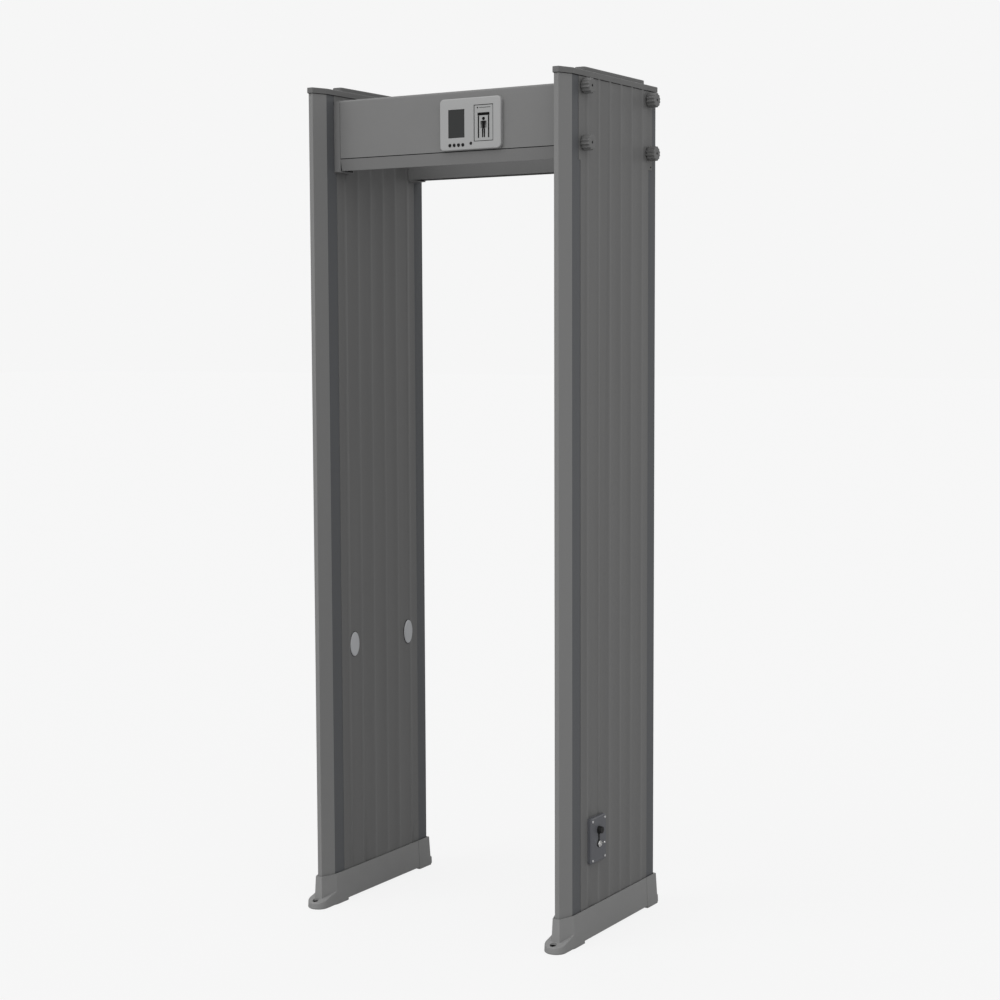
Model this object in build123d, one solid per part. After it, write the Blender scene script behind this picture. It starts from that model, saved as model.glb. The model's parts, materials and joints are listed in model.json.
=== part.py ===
from build123d import *
import os
from math import atan, cos, degrees, pi, sin

# Walk-through metal detector archway. Millimetres, +Z up, +X to the right, the front towards -Y.
# The origin is on the floor, in the middle of the passage and of the panels' depth. Each side panel
# is drawn about its own centre line and then carried out to +X; the left panel is its mirror image.
# A panel tapers to a nose at the front and ends flat at the rear.

# ---------------------------------------------------------------- driving dimensions
PASSAGE_WIDTH = 710.0        # clear width between the two side panels
PASSAGE_HEIGHT = 2010.0      # floor to the lower edge of the control unit
PANEL_TOP = 2212.0           # floor to the seat of the top caps
PANEL_DEPTH = 498.0          # front nose to the flat rear end
PANEL_THICKNESS = 43.0       # over the two boards

NOSE_WIDTH = 13.0            # flat tip of the tapered column
NOSE_DEPTH = 42.0            # tip to the widest ridge
COLUMN_WALL = 2.5            # wall of the column mouldings
POST_DEPTH = 43.0            # dark band between the ridge and the board
POST_SETBACK = 0.8           # dark band lies this far behind the ridge and the board
TONGUE_DEPTH = 10.0          # part of the post that reaches in between the boards

BOARD_THICKNESS = 4.0
RIB_COUNT = 6
RIB_PITCH = 60.0
RIB_WIDTH = 16.0
RIB_HEIGHT = 1.2
TAB_BOTTOM_DROP = 6.0        # board tabs start this far below the header
REAR_TAB = 20.0              # board reaches over the rear band beside the header
FRONT_TAB = 10.0

SHOE_HEIGHT = 85.0
SHOE_TOP_LEDGE = 5.0         # shoe stands proud of the panel all round, at its top
SHOE_FOOT_LEDGE = 9.0        # and at the floor
SHOE_GROOVE = 2.0            # open groove between the panel and the rim of the shoe
SHOE_GROOVE_DEPTH = 6.0
SHOE_FLOOR = 25.0            # floor of the pocket that holds the panel
FOOT_LIFT = 6.0              # middle of the shoe is clear of the floor
FOOT_INNER_INSET = 7.0       # foot blocks start this far inside the ends of the boards
WAIST_RELIEF = 0.8           # side of the shoe between the foot blocks is set back
EAR_REACH = 35.0             # ear tip beyond the end of the panel
EAR_TIP_HEIGHT = 18.0
EAR_SLOPE = 15.5             # degrees, the ear's top rises towards the panel
EAR_BLOCK_HEIGHT = 60.0      # ear before its sloping top is cut
EAR_EDGE_RADIUS = 4.0
BOLT_INSET = 15.5            # floor bolt holes, from the tip of the ear
BOLT_HOLE_RADIUS = 6.0
BOLT_RECESS_RADIUS = 9.0
BOLT_SEAT = 8.0              # height of the seat for the bolt head

CAP_THICKNESS = 14.5
CAP_OVERHANG = 3.0
CAP_EDGE_RADIUS = 2.0
CAP_RIM = 12.0               # solid rim that sits on the panel
CAP_WALL = 3.5
ISLAND_FRONT_INSET = 116.0   # raised island, from the front nose
ISLAND_REAR_INSET = 53.0     # and from the rear end
ISLAND_WIDTH = 32.0
ISLAND_HEIGHT = 11.7
ISLAND_CORNER = 9.0

BEAM_DEPTH = 60.0            # control unit and rear beam, front to back
BEAM_TOP_DROP = 15.3         # beams end this far below the panel tops
CONTROL_SETBACK = 74.0       # face of the control unit behind the nose
REAR_BEAM_INSET = 12.0       # back of the rear beam inside the rear end
BRACKET_WIDTH = 20.0         # end brackets, along X
BRACKET_WALL = 2.4
BRACKET_DROP = 3.0           # brackets hang this far below the beams
COVER_WALL = 2.7
COVER_TOP_RADIUS = 6.0
COVER_LOWER_HEIGHT = 31.8    # lower edge of the cover up to the groove in its face
COVER_LOWER_SETBACK = 7.0    # lower edge of the cover, behind its face
COVER_GROOVE_HEIGHT = 2.0
COVER_GROOVE_DEPTH = 1.2
CHASSIS_WALL = 2.0
CHASSIS_LIFT = 8.0           # chassis floor above the lower edge of the cover
CHASSIS_OVERLAP = 6.0        # chassis end inside the bracket, clear of the bushes
CHASSIS_LIP = 12.0
BEAM_PLATE_LIP = 6.0         # thickened lower edge of the rear beam plate

KNOB_RADIUS = 19.8
KNOB_LENGTH = 24.0
KNOB_FLUTES = 12
KNOB_FLUTE_RADIUS = 2.6
KNOB_EYE_RADIUS = 2.2
KNOB_EYE_DEPTH = 3.0
KNOB_EDGE = 1.5
FRONT_KNOB_SETBACK = 26.0    # knobs behind the face of the control unit
LOWER_KNOB_RISE = 37.0       # knobs above the lower edge of the beams
UPPER_KNOB_DROP = 25.0       # knobs below the panel tops
STUD_RADIUS = 4.0
STUD_HOLE_RADIUS = 4.6
BUSH_RADIUS = 5.6
BUSH_LENGTH = 10.0
BUSH_RUNNING_FIT = 0.05
STUD_SHORTFALL = 1.0         # stud ends this far inside its bush
KNOB_GAP = 1.6               # knob to panel face, clear of the ribs

BEZEL_WIDTH = 185.6
BEZEL_HEIGHT = 132.0
BEZEL_THICKNESS = 10.0
BEZEL_LEFT_X = -8.2
BEZEL_RISE = 34.2            # bezel above the lower edge of the cover
BEZEL_WALL = 3.0
BEZEL_SEAT = 9.0             # bezel overlaps the opening in the cover
BEZEL_CORNER = 12.0
BEZEL_EDGE = 2.8
SCREEN_WIDTH = 49.0
SCREEN_HEIGHT = 72.0
SCREEN_INSET = 51.2          # middle of the screen from the left edge of the bezel
SCREEN_RISE = 67.8           # and from its lower edge
ZONE_WIDTH = 58.0
ZONE_HEIGHT = 92.5
ZONE_INSET = 133.5
WINDOW_RECESS = 0.8          # glass below the bezel face
WINDOW_FLANGE = 3.0          # hidden edge of a window behind the bezel wall
WINDOW_BACK = 2.5
BUTTON_COUNT = 4
BUTTON_INSET = 31.2          # first button from the left edge of the bezel
BUTTON_PITCH = 13.2
BUTTON_RISE = 13.1
BUTTON_RADIUS = 4.2
BUTTON_PROUD = 1.6
BUTTON_FLANGE = 1.2
BUTTON_FLANGE_OVERHANG = 0.9
EYE_INSET = 95.2
EYE_RISE = 15.8
EYE_RADIUS = 4.0
EYE_FLANGE = 1.0

SENSOR_WIDTH = 41.0
SENSOR_HEIGHT = 68.0
SENSOR_PROUD = 3.0
SENSOR_EDGE_RADIUS = 2.4
SENSOR_WALL = 2.5
SENSOR_FLANGE = 3.0
SENSOR_FLANGE_THICKNESS = 2.0
SENSOR_Z = 713.0
SENSOR_FRONT_INSET = 59.0    # from the front edge of the board
SENSOR_REAR_INSET = 48.0     # from the rear edge of the board
SENSOR_BOARD = (1.6, 38.0, 44.0)
LED_RADIUS = 2.5
LED_LENGTH = 4.0

COIL_FRAME_THICKNESS = 12.0
COIL_FRAME_HALF_DEPTH = 158.0
COIL_FRAME_BAR = 22.0
COIL_FRAME_RUNGS = 3
COIL_THICKNESS = 5.0
COIL_BAND = 14.0
COIL_TOP_GAP = 40.0          # coil ends this far below the header

INLET_WIDTH = 82.0
INLET_HEIGHT = 120.0
INLET_THICKNESS = 12.0
INLET_WALL = 3.0
INLET_CHAMFER = 3.0
INLET_CORNER = 6.0
INLET_INSET = 76.0           # middle of the plate from the front edge of the board
INLET_Z = 260.0
INLET_SEAT = 12.0            # solid edge of the plate round its hollow
INLET_SCREW_INSET = 8.5
INLET_SCREW_RADIUS = 2.0
INLET_SCREW_HEAD = 4.2
INLET_SCREW_HEAD_HEIGHT = 2.0
SOCKET_RISE = 25.0           # power socket above the middle of the plate
SOCKET_BODY_RADIUS = 8.0
SOCKET_NOSE_RADIUS = 6.5
SOCKET_NOSE_LENGTH = 7.0
SOCKET_FLANGE_RADIUS = 10.0
SOCKET_FLANGE_THICKNESS = 1.6
SOCKET_BACK = 6.0            # socket body behind the panel face
DUST_CAP_WALL = 2.5
STRAP_WIDTH = 5.0
STRAP_THICKNESS = 1.5
SWITCH_DROP = 12.0           # toggle switch below the middle of the plate
SWITCH_BUSH_RADIUS = 6.0
SWITCH_BUSH_PROUD = 6.0
SWITCH_BORE_RADIUS = 4.5
SWITCH_BODY = (14.0, 13.0, 20.0)
SWITCH_NUT_RADIUS = 8.5
SWITCH_NUT_THICKNESS = 2.5
LOOP_OVERHANG = 1.0          # strap loop shows round the nut
LINK_OVERLAP = 1.0           # strap reaches into the dust cap
LEVER_BALL_RADIUS = 3.2
LEVER_ROOT_RADIUS = 1.5
LEVER_TIP_RADIUS = 2.6
LEVER_LENGTH = 15.0
LEVER_TILT = 25.0            # degrees above level when the gate is switched on
LEVER_PIVOT_INSET = 3.0      # pivot inside the bush, behind its rim

CONTROL_BOARD = (150.0, 1.6, 90.0)
BOARD_POST_RADIUS = 3.0
POWER_UNIT = (130.0, 36.0, 98.0)
POWER_UNIT_X = -180.0
BUZZER_RADIUS = 15.0
BUZZER_HEIGHT = 12.0
BUZZER_HOLE_RADIUS = 3.0
BUZZER_X = -60.0

FIT = 0.2                    # gap where one fixed piece slides into another
MOVING_GAP = 0.3             # gap round a piece that moves

# ---------------------------------------------------------------- worked-out places
HALF_PANEL = PANEL_THICKNESS / 2
PANEL_X = PASSAGE_WIDTH / 2 + HALF_PANEL
FRONT_TIP_Y = -PANEL_DEPTH / 2
REAR_END_Y = PANEL_DEPTH / 2
RIDGE_Y = FRONT_TIP_Y + NOSE_DEPTH
BOARD_FRONT_Y = RIDGE_Y + POST_DEPTH
BOARD_REAR_Y = REAR_END_Y - POST_DEPTH
BOARD_MIDDLE_Y = (BOARD_FRONT_Y + BOARD_REAR_Y) / 2
HALF_POST = HALF_PANEL - POST_SETBACK
BOARD_BACK = HALF_PANEL - BOARD_THICKNESS
TAB_BOTTOM = PASSAGE_HEIGHT - TAB_BOTTOM_DROP
SHOE_DRAFT = (SHOE_FOOT_LEDGE - SHOE_TOP_LEDGE) / SHOE_HEIGHT
FOOT_Y_RANGE = (BOARD_FRONT_Y + FOOT_INNER_INSET, BOARD_REAR_Y - FOOT_INNER_INSET)
EAR_RADIUS = HALF_PANEL + SHOE_FOOT_LEDGE
EAR_TIP_Y = REAR_END_Y + EAR_REACH
EAR_CENTRE_Y = EAR_TIP_Y - EAR_RADIUS
BOLT_Y = EAR_TIP_Y - BOLT_INSET
BEAM_TOP = PANEL_TOP - BEAM_TOP_DROP
CONTROL_FRONT_Y = FRONT_TIP_Y + CONTROL_SETBACK
REAR_BEAM_FRONT_Y = REAR_END_Y - REAR_BEAM_INSET - BEAM_DEPTH
COVER_FOLD_Z = PASSAGE_HEIGHT + COVER_LOWER_HEIGHT
CHASSIS_FRONT = CONTROL_FRONT_Y + COVER_WALL
CHASSIS_BACK = CONTROL_FRONT_Y + BEAM_DEPTH - BRACKET_WALL - FIT
CHASSIS_BOTTOM = PASSAGE_HEIGHT + CHASSIS_LIFT
CHASSIS_TOP = BEAM_TOP - COVER_WALL
CHASSIS_MIDDLE_Z = (CHASSIS_BOTTOM + CHASSIS_TOP) / 2
CHASSIS_SEAT_Y = CHASSIS_BACK - CHASSIS_WALL
BEZEL_BOTTOM_Z = PASSAGE_HEIGHT + BEZEL_RISE
BEZEL_FRONT_Y = CONTROL_FRONT_Y - BEZEL_THICKNESS
BEZEL_X = BEZEL_LEFT_X + BEZEL_WIDTH / 2
BEZEL_Z = BEZEL_BOTTOM_Z + BEZEL_HEIGHT / 2
BEZEL_BACK_OF_WALL = BEZEL_FRONT_Y + BEZEL_WALL
SCREEN_X = BEZEL_LEFT_X + SCREEN_INSET
SCREEN_Z = BEZEL_BOTTOM_Z + SCREEN_RISE
ZONE_X = BEZEL_LEFT_X + ZONE_INSET
BUTTON_FIRST_X = BEZEL_LEFT_X + BUTTON_INSET
BUTTON_Z = BEZEL_BOTTOM_Z + BUTTON_RISE
EYE_X = BEZEL_LEFT_X + EYE_INSET
EYE_Z = BEZEL_BOTTOM_Z + EYE_RISE
SENSOR_FRONT_Y = BOARD_FRONT_Y + SENSOR_FRONT_INSET
SENSOR_REAR_Y = BOARD_REAR_Y - SENSOR_REAR_INSET
INLET_Y = BOARD_FRONT_Y + INLET_INSET
INLET_FACE = HALF_PANEL + INLET_THICKNESS
SOCKET_Z = INLET_Z + SOCKET_RISE
SWITCH_Z = INLET_Z - SWITCH_DROP
BEAM_HALF_LENGTH = PASSAGE_WIDTH / 2 - BRACKET_WIDTH
BRACKET_BOTTOM = PASSAGE_HEIGHT - BRACKET_DROP
CHASSIS_HALF_LENGTH = BEAM_HALF_LENGTH + CHASSIS_OVERLAP
FRONT_KNOB_Y = CONTROL_FRONT_Y + FRONT_KNOB_SETBACK
REAR_KNOB_Y = REAR_BEAM_FRONT_Y + BEAM_DEPTH / 2
LOWER_KNOB_Z = PASSAGE_HEIGHT + LOWER_KNOB_RISE
UPPER_KNOB_Z = PANEL_TOP - UPPER_KNOB_DROP
KNOB_PLACES = {
    "front_lower": (FRONT_KNOB_Y, LOWER_KNOB_Z),
    "front_upper": (FRONT_KNOB_Y, UPPER_KNOB_Z),
    "rear_lower": (REAR_KNOB_Y, LOWER_KNOB_Z),
    "rear_upper": (REAR_KNOB_Y, UPPER_KNOB_Z),
}


# ---------------------------------------------------------------- helpers
def block(x_range, y_range, z_range):
    """Box between three pairs of limits."""
    sizes = [high - low for low, high in (x_range, y_range, z_range)]
    middle = [(high + low) / 2 for low, high in (x_range, y_range, z_range)]
    return Pos(*middle) * Box(*sizes)


def prism(points, z_range):
    """Upright prism on a plan outline."""
    outline = make_face(Polyline(*points, close=True))
    return Pos(0, 0, z_range[0]) * extrude(outline, amount=z_range[1] - z_range[0])


def grown_outline(growth):
    """Plan outline of one panel, about its own centre line, moved outwards."""
    half_nose = NOSE_WIDTH / 2
    corners = [
        (-half_nose, FRONT_TIP_Y), (half_nose, FRONT_TIP_Y), (HALF_PANEL, RIDGE_Y),
        (HALF_PANEL, REAR_END_Y), (-HALF_PANEL, REAR_END_Y), (-HALF_PANEL, RIDGE_Y),
    ]
    outline = make_face(Polyline(*corners, close=True))
    if growth == 0:
        return outline
    return offset(outline, amount=growth, kind=Kind.INTERSECTION)


def grown_prism(growth, z_range):
    return Pos(0, 0, z_range[0]) * extrude(grown_outline(growth), amount=z_range[1] - z_range[0])


def rod_x(radius, x_range, y, z):
    """Round rod along X."""
    length = x_range[1] - x_range[0]
    return Pos((x_range[0] + x_range[1]) / 2, y, z) * Rot(0, 90, 0) * Cylinder(radius, length)


def rod_y(radius, y_range, x, z):
    """Round rod along Y."""
    length = y_range[1] - y_range[0]
    return Pos(x, (y_range[0] + y_range[1]) / 2, z) * Rot(90, 0, 0) * Cylinder(radius, length)


def oval_x(width, height, x_range, y, z):
    """Upright elliptical plug along X."""
    face = Plane.YZ * Ellipse(width / 2, height / 2)
    return Pos(x_range[0], y, z) * extrude(face, amount=x_range[1] - x_range[0])


def top_edges(shape, z):
    return [edge for edge in shape.edges() if abs(edge.bounding_box().min.Z - z) < 0.01]


def stud_holes():
    """Clearance holes for the four clamp studs, right through a panel."""
    reach = PANEL_THICKNESS
    holes = [rod_x(STUD_HOLE_RADIUS, (-reach, reach), y, z) for y, z in KNOB_PLACES.values()]
    return Compound(children=holes)


# ---------------------------------------------------------------- side panel pieces
def post_walls(y_range, tongue_y_range, z_range, shrink):
    """Outside of a post and its tongue between the boards, or its hollow when shrunk by a wall."""
    half_tongue = BOARD_BACK - FIT - shrink
    half_post = HALF_POST - shrink
    body = block((-half_post, half_post), y_range, z_range)
    return body + block((-half_tongue, half_tongue), tongue_y_range, z_range)


def tab_notches(y_range):
    """Room for the board tabs in both sides of a post."""
    notches = Part()
    for side_x in (-1, 1):
        edge = sorted((side_x * (BOARD_BACK - FIT), side_x * PANEL_THICKNESS))
        notches += block(edge, y_range, (TAB_BOTTOM - FIT, PANEL_TOP))
    return notches


def make_front_post():
    """Dark hollow post between the tapered nose and the boards."""
    z_range = (SHOE_FLOOR, PANEL_TOP)
    wall = COLUMN_WALL
    tongue_end = BOARD_FRONT_Y + TONGUE_DEPTH
    post = post_walls((RIDGE_Y, BOARD_FRONT_Y), (BOARD_FRONT_Y, tongue_end), z_range, 0)
    hollow_y = (RIDGE_Y + wall, BOARD_FRONT_Y - wall)
    post -= post_walls(hollow_y, (BOARD_FRONT_Y - wall, tongue_end - wall), z_range, wall)
    post -= tab_notches((BOARD_FRONT_Y - FRONT_TAB - FIT, BOARD_FRONT_Y))
    return post - stud_holes()


def make_rear_post():
    """Dark hollow post that closes the flat rear end of a panel."""
    z_range = (SHOE_FLOOR, PANEL_TOP)
    wall = COLUMN_WALL
    tongue_end = BOARD_REAR_Y - TONGUE_DEPTH
    post = post_walls((BOARD_REAR_Y, REAR_END_Y), (tongue_end, BOARD_REAR_Y), z_range, 0)
    end_edges = [edge for edge in post.edges().filter_by(Axis.Z) if edge.center().Y > REAR_END_Y - wall]
    post = fillet(end_edges, wall / 2)
    hollow_y = (BOARD_REAR_Y + wall, REAR_END_Y - wall)
    post -= post_walls(hollow_y, (tongue_end + wall, BOARD_REAR_Y + wall), z_range, wall)
    post -= tab_notches((BOARD_REAR_Y, BOARD_REAR_Y + REAR_TAB + FIT))
    return post - stud_holes()


def make_nose():
    """Tapered hollow nose in front of the front post."""
    half_nose = NOSE_WIDTH / 2
    slope = (HALF_PANEL - half_nose) / NOSE_DEPTH
    side_wall = COLUMN_WALL * (1 + slope * slope) ** 0.5
    inner_tip_y = FRONT_TIP_Y + COLUMN_WALL
    inner_tip = half_nose + slope * COLUMN_WALL - side_wall
    z_range = (SHOE_FLOOR, PANEL_TOP)
    outer = [
        (-HALF_PANEL, RIDGE_Y), (HALF_PANEL, RIDGE_Y), (half_nose, FRONT_TIP_Y),
        (-half_nose, FRONT_TIP_Y),
    ]
    inner = [
        (side_wall - HALF_PANEL, RIDGE_Y), (HALF_PANEL - side_wall, RIDGE_Y),
        (inner_tip, inner_tip_y), (-inner_tip, inner_tip_y),
    ]
    nose = prism(outer, z_range)
    tip_edges = [edge for edge in nose.edges().filter_by(Axis.Z) if edge.center().Y < inner_tip_y]
    nose = fillet(tip_edges, COLUMN_WALL / 2)
    return nose - prism(inner, z_range)


def rib_profile():
    """Plan of the shallow round ribs on a board, a little sunk into it."""
    bow = (RIB_WIDTH ** 2 / 4 + RIB_HEIGHT ** 2) / (2 * RIB_HEIGHT)
    first = BOARD_MIDDLE_Y - RIB_PITCH * (RIB_COUNT - 1) / 2
    root = BOARD_THICKNESS / 2
    length = BOARD_REAR_Y - BOARD_FRONT_Y
    band_x = HALF_PANEL - root / 2 + RIB_HEIGHT / 2
    band = Pos(band_x, BOARD_MIDDLE_Y) * Rectangle(root + RIB_HEIGHT, length)
    discs = Sketch()
    for number in range(RIB_COUNT):
        discs += Pos(HALF_PANEL + RIB_HEIGHT - bow, first + number * RIB_PITCH) * Circle(bow)
    crest = discs & band
    face_line = Pos(HALF_PANEL - root / 2, BOARD_MIDDLE_Y) * Rectangle(root, length)
    return crest - face_line


def make_board():
    """Ribbed board for the +X face of a panel, with its tabs beside the header."""
    board_y = (BOARD_FRONT_Y, BOARD_REAR_Y)
    board = block((BOARD_BACK, HALF_PANEL), board_y, (SHOE_FLOOR, PANEL_TOP))
    tab_y = (BOARD_FRONT_Y - FRONT_TAB, BOARD_REAR_Y + REAR_TAB)
    board += block((BOARD_BACK, HALF_PANEL), tab_y, (TAB_BOTTOM, PANEL_TOP))
    board += Pos(0, 0, SHOE_HEIGHT) * extrude(rib_profile(), amount=PANEL_TOP - SHOE_HEIGHT)
    return board - stud_holes()


def rib_clearing(y_range, z_range):
    """Space over the board face that the ribs leave free."""
    return block((HALF_PANEL, HALF_PANEL + 2 * RIB_HEIGHT), y_range, z_range)


def make_outer_board(with_inlet):
    board = make_board()
    if not with_inlet:
        return board
    half_width = INLET_WIDTH / 2 + MOVING_GAP
    half_height = INLET_HEIGHT / 2 + MOVING_GAP
    y_range = (INLET_Y - half_width, INLET_Y + half_width)
    board -= rib_clearing(y_range, (INLET_Z - half_height, INLET_Z + half_height))
    board -= rod_x(SOCKET_BODY_RADIUS + FIT, (0, PANEL_THICKNESS), INLET_Y, SOCKET_Z)
    half_body = [size / 2 + FIT for size in SWITCH_BODY]
    board -= block(
        (0, PANEL_THICKNESS), (INLET_Y - half_body[1], INLET_Y + half_body[1]),
        (SWITCH_Z - half_body[2], SWITCH_Z + half_body[2]),
    )
    for y, z in inlet_screw_places():
        board -= rod_x(INLET_SCREW_RADIUS + FIT, (0, PANEL_THICKNESS), y, z)
    return board


def make_inner_board():
    """Board on the passage side, drawn for the -X face: sensor openings and flats for the brackets."""
    board = make_board()
    beam_z = (BRACKET_BOTTOM - FIT, PANEL_TOP)
    board -= rib_clearing((CONTROL_FRONT_Y - FIT, CONTROL_FRONT_Y + BEAM_DEPTH + FIT), beam_z)
    board -= rib_clearing((REAR_BEAM_FRONT_Y - FIT, REAR_BEAM_FRONT_Y + BEAM_DEPTH + FIT), beam_z)
    reach = (0, PANEL_THICKNESS)
    for y in (SENSOR_FRONT_Y, SENSOR_REAR_Y):
        board -= oval_x(SENSOR_WIDTH + 2 * FIT, SENSOR_HEIGHT + 2 * FIT, reach, y, SENSOR_Z)
    return mirror(board, about=Plane.YZ)


def make_cap():
    """Top cap: overhanging plate, raised island, hollow underneath."""
    plate_top = PANEL_TOP + CAP_THICKNESS
    plate = grown_prism(CAP_OVERHANG, (PANEL_TOP, plate_top))
    plate = fillet(top_edges(plate, plate_top), CAP_EDGE_RADIUS)
    island_length = PANEL_DEPTH - ISLAND_FRONT_INSET - ISLAND_REAR_INSET
    island_y = (ISLAND_FRONT_INSET - ISLAND_REAR_INSET) / 2
    island_face = RectangleRounded(ISLAND_WIDTH, island_length, ISLAND_CORNER)
    island = Pos(0, island_y, plate_top) * extrude(island_face, amount=ISLAND_HEIGHT)
    island = fillet(top_edges(island, plate_top + ISLAND_HEIGHT), CAP_EDGE_RADIUS)
    pocket = grown_prism(CAP_OVERHANG - CAP_RIM, (PANEL_TOP, plate_top - CAP_WALL))
    room = 2 * CAP_WALL
    room_corner = ISLAND_CORNER - CAP_WALL
    room_face = RectangleRounded(ISLAND_WIDTH - room, island_length - room, room_corner)
    island_room = extrude(room_face, amount=ISLAND_HEIGHT)
    return plate + island - pocket - Pos(0, island_y, plate_top - CAP_WALL) * island_room


def shoe_body(inset):
    """Drafted body of the shoe, wider at the floor; inset moves its walls inwards."""
    foot = grown_outline(SHOE_FOOT_LEDGE - inset)
    rim = Pos(0, 0, SHOE_HEIGHT) * grown_outline(SHOE_TOP_LEDGE - inset)
    return loft([foot, rim], ruled=True)


def make_ear(side_y):
    """Round foot ear for a floor bolt, with a top that rises towards the panel."""
    root_y = FOOT_Y_RANGE[1]
    length = EAR_CENTRE_Y - root_y
    plan = Pos(0, root_y + length / 2) * Rectangle(2 * EAR_RADIUS, length)
    plan += Pos(0, EAR_CENTRE_Y) * Circle(EAR_RADIUS)
    draft = degrees(atan(SHOE_DRAFT))
    ear = extrude(plan, amount=EAR_BLOCK_HEIGHT, taper=draft)
    over = EAR_BLOCK_HEIGHT * 2
    above = block((-over, over), (-3 * over, over), (0, over))
    ear -= Pos(0, EAR_TIP_Y, EAR_TIP_HEIGHT) * Rot(-EAR_SLOPE, 0, 0) * above
    rims = [edge for edge in ear.edges() if edge.bounding_box().max.Y > EAR_CENTRE_Y + EAR_EDGE_RADIUS]
    ear = fillet(rims, EAR_EDGE_RADIUS)
    if side_y < 0:
        ear = mirror(ear, about=Plane.XZ)
    return ear


def make_shoe():
    """Base shoe: a drafted socket for the panel on two foot blocks, with an ear at each end."""
    middle = block((-PANEL_THICKNESS, PANEL_THICKNESS), FOOT_Y_RANGE, (0, SHOE_HEIGHT))
    shoe = shoe_body(0) - middle + shoe_body(WAIST_RELIEF)
    for side_y in (-1, 1):
        shoe += make_ear(side_y)
    shoe -= grown_prism(FIT, (SHOE_FLOOR, SHOE_HEIGHT))
    shoe -= grown_prism(SHOE_GROOVE, (SHOE_HEIGHT - SHOE_GROOVE_DEPTH, SHOE_HEIGHT))
    shoe -= block((-PANEL_THICKNESS, PANEL_THICKNESS), FOOT_Y_RANGE, (0, FOOT_LIFT))
    for y in (-BOLT_Y, BOLT_Y):
        shoe -= Pos(0, y, BOLT_SEAT / 2) * Cylinder(BOLT_HOLE_RADIUS, BOLT_SEAT)
        shoe -= Pos(0, y, BOLT_SEAT + SHOE_FLOOR / 2) * Cylinder(BOLT_RECESS_RADIUS, SHOE_FLOOR)
    return shoe


def make_coil_frame():
    """Ladder-shaped former that carries the coil inside a panel."""
    half = COIL_FRAME_THICKNESS / 2
    z_range = (SHOE_FLOOR, PANEL_TOP)
    outer = COIL_FRAME_HALF_DEPTH
    middle = BOARD_MIDDLE_Y
    frame = block((-half, half), (middle - outer, middle + outer), z_range)
    inner = outer - COIL_FRAME_BAR
    bays = COIL_FRAME_RUNGS + 1
    bay = (z_range[1] - z_range[0] - COIL_FRAME_BAR) / bays
    for number in range(bays):
        low = z_range[0] + COIL_FRAME_BAR + number * bay
        bay_z = (low, low + bay - COIL_FRAME_BAR)
        frame -= block((-half, half), (middle - inner, middle + inner), bay_z)
    return frame


def make_coil():
    """Flat coil wound round the former, on the passage side of it."""
    face = -COIL_FRAME_THICKNESS / 2
    low = SHOE_FLOOR + COIL_FRAME_BAR
    high = PASSAGE_HEIGHT - COIL_TOP_GAP
    outer = COIL_FRAME_HALF_DEPTH - (COIL_FRAME_BAR - COIL_BAND) / 2
    inner = outer - COIL_BAND
    layers = (face - COIL_THICKNESS, face)
    middle = BOARD_MIDDLE_Y
    coil = block(layers, (middle - outer, middle + outer), (low, high))
    inner_z = (low + COIL_BAND, high - COIL_BAND)
    return coil - block(layers, (middle - inner, middle + inner), inner_z)


def make_sensor_window(y):
    """Oval infrared window in the passage-side board, hollow behind."""
    face = -HALF_PANEL
    back = -BOARD_BACK
    window = oval_x(SENSOR_WIDTH, SENSOR_HEIGHT, (face - SENSOR_PROUD, back), y, SENSOR_Z)
    rim_x = face - SENSOR_PROUD
    front_edges = [edge for edge in window.edges() if edge.bounding_box().max.X < rim_x + FIT]
    window = fillet(front_edges, SENSOR_EDGE_RADIUS)
    flange = 2 * SENSOR_FLANGE
    window += oval_x(
        SENSOR_WIDTH + flange, SENSOR_HEIGHT + flange, (back, back + SENSOR_FLANGE_THICKNESS), y, SENSOR_Z
    )
    room = 2 * (SENSOR_WALL + SENSOR_FLANGE)
    hollow = (face - SENSOR_PROUD + SENSOR_WALL, back + SENSOR_FLANGE_THICKNESS)
    return window - oval_x(SENSOR_WIDTH - room, SENSOR_HEIGHT - room, hollow, y, SENSOR_Z)


def make_sensor_board(y):
    """Little circuit board with its diode, on the back of a sensor window."""
    thickness, depth, height = SENSOR_BOARD
    seat = -BOARD_BACK + SENSOR_FLANGE_THICKNESS
    span_y = (y - depth / 2, y + depth / 2)
    span_z = (SENSOR_Z - height / 2, SENSOR_Z + height / 2)
    plate = block((seat, seat + thickness), span_y, span_z)
    return plate + rod_x(LED_RADIUS, (seat - LED_LENGTH, seat), y, SENSOR_Z)


# ---------------------------------------------------------------- clamp knobs
def make_knob(y, z):
    """Fluted hand knob with its moulded-in stud, outside the +X face of a panel."""
    base = HALF_PANEL + KNOB_GAP
    tip = base + KNOB_LENGTH
    grip = rod_x(KNOB_RADIUS, (base, tip), y, z)
    grip = fillet(grip.edges(), KNOB_EDGE)
    for number in range(KNOB_FLUTES):
        angle = 2 * pi * number / KNOB_FLUTES
        flute_y = y + KNOB_RADIUS * cos(angle)
        flute_z = z + KNOB_RADIUS * sin(angle)
        grip -= rod_x(KNOB_FLUTE_RADIUS, (base, tip), flute_y, flute_z)
    grip -= rod_x(KNOB_EYE_RADIUS, (tip - KNOB_EYE_DEPTH, tip), y, z)
    bush_inner_end = -HALF_PANEL - BRACKET_WALL - BUSH_LENGTH
    return grip + rod_x(STUD_RADIUS, (bush_inner_end + STUD_SHORTFALL, base), y, z)


def make_clamp_bush(y, z):
    """Threaded bush on the inside of an end bracket, for one clamp stud."""
    seat = -HALF_PANEL - BRACKET_WALL
    bush = rod_x(BUSH_RADIUS, (seat - BUSH_LENGTH, seat), y, z)
    return bush - rod_x(STUD_RADIUS + BUSH_RUNNING_FIT, (seat - BUSH_LENGTH, seat), y, z)


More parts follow.
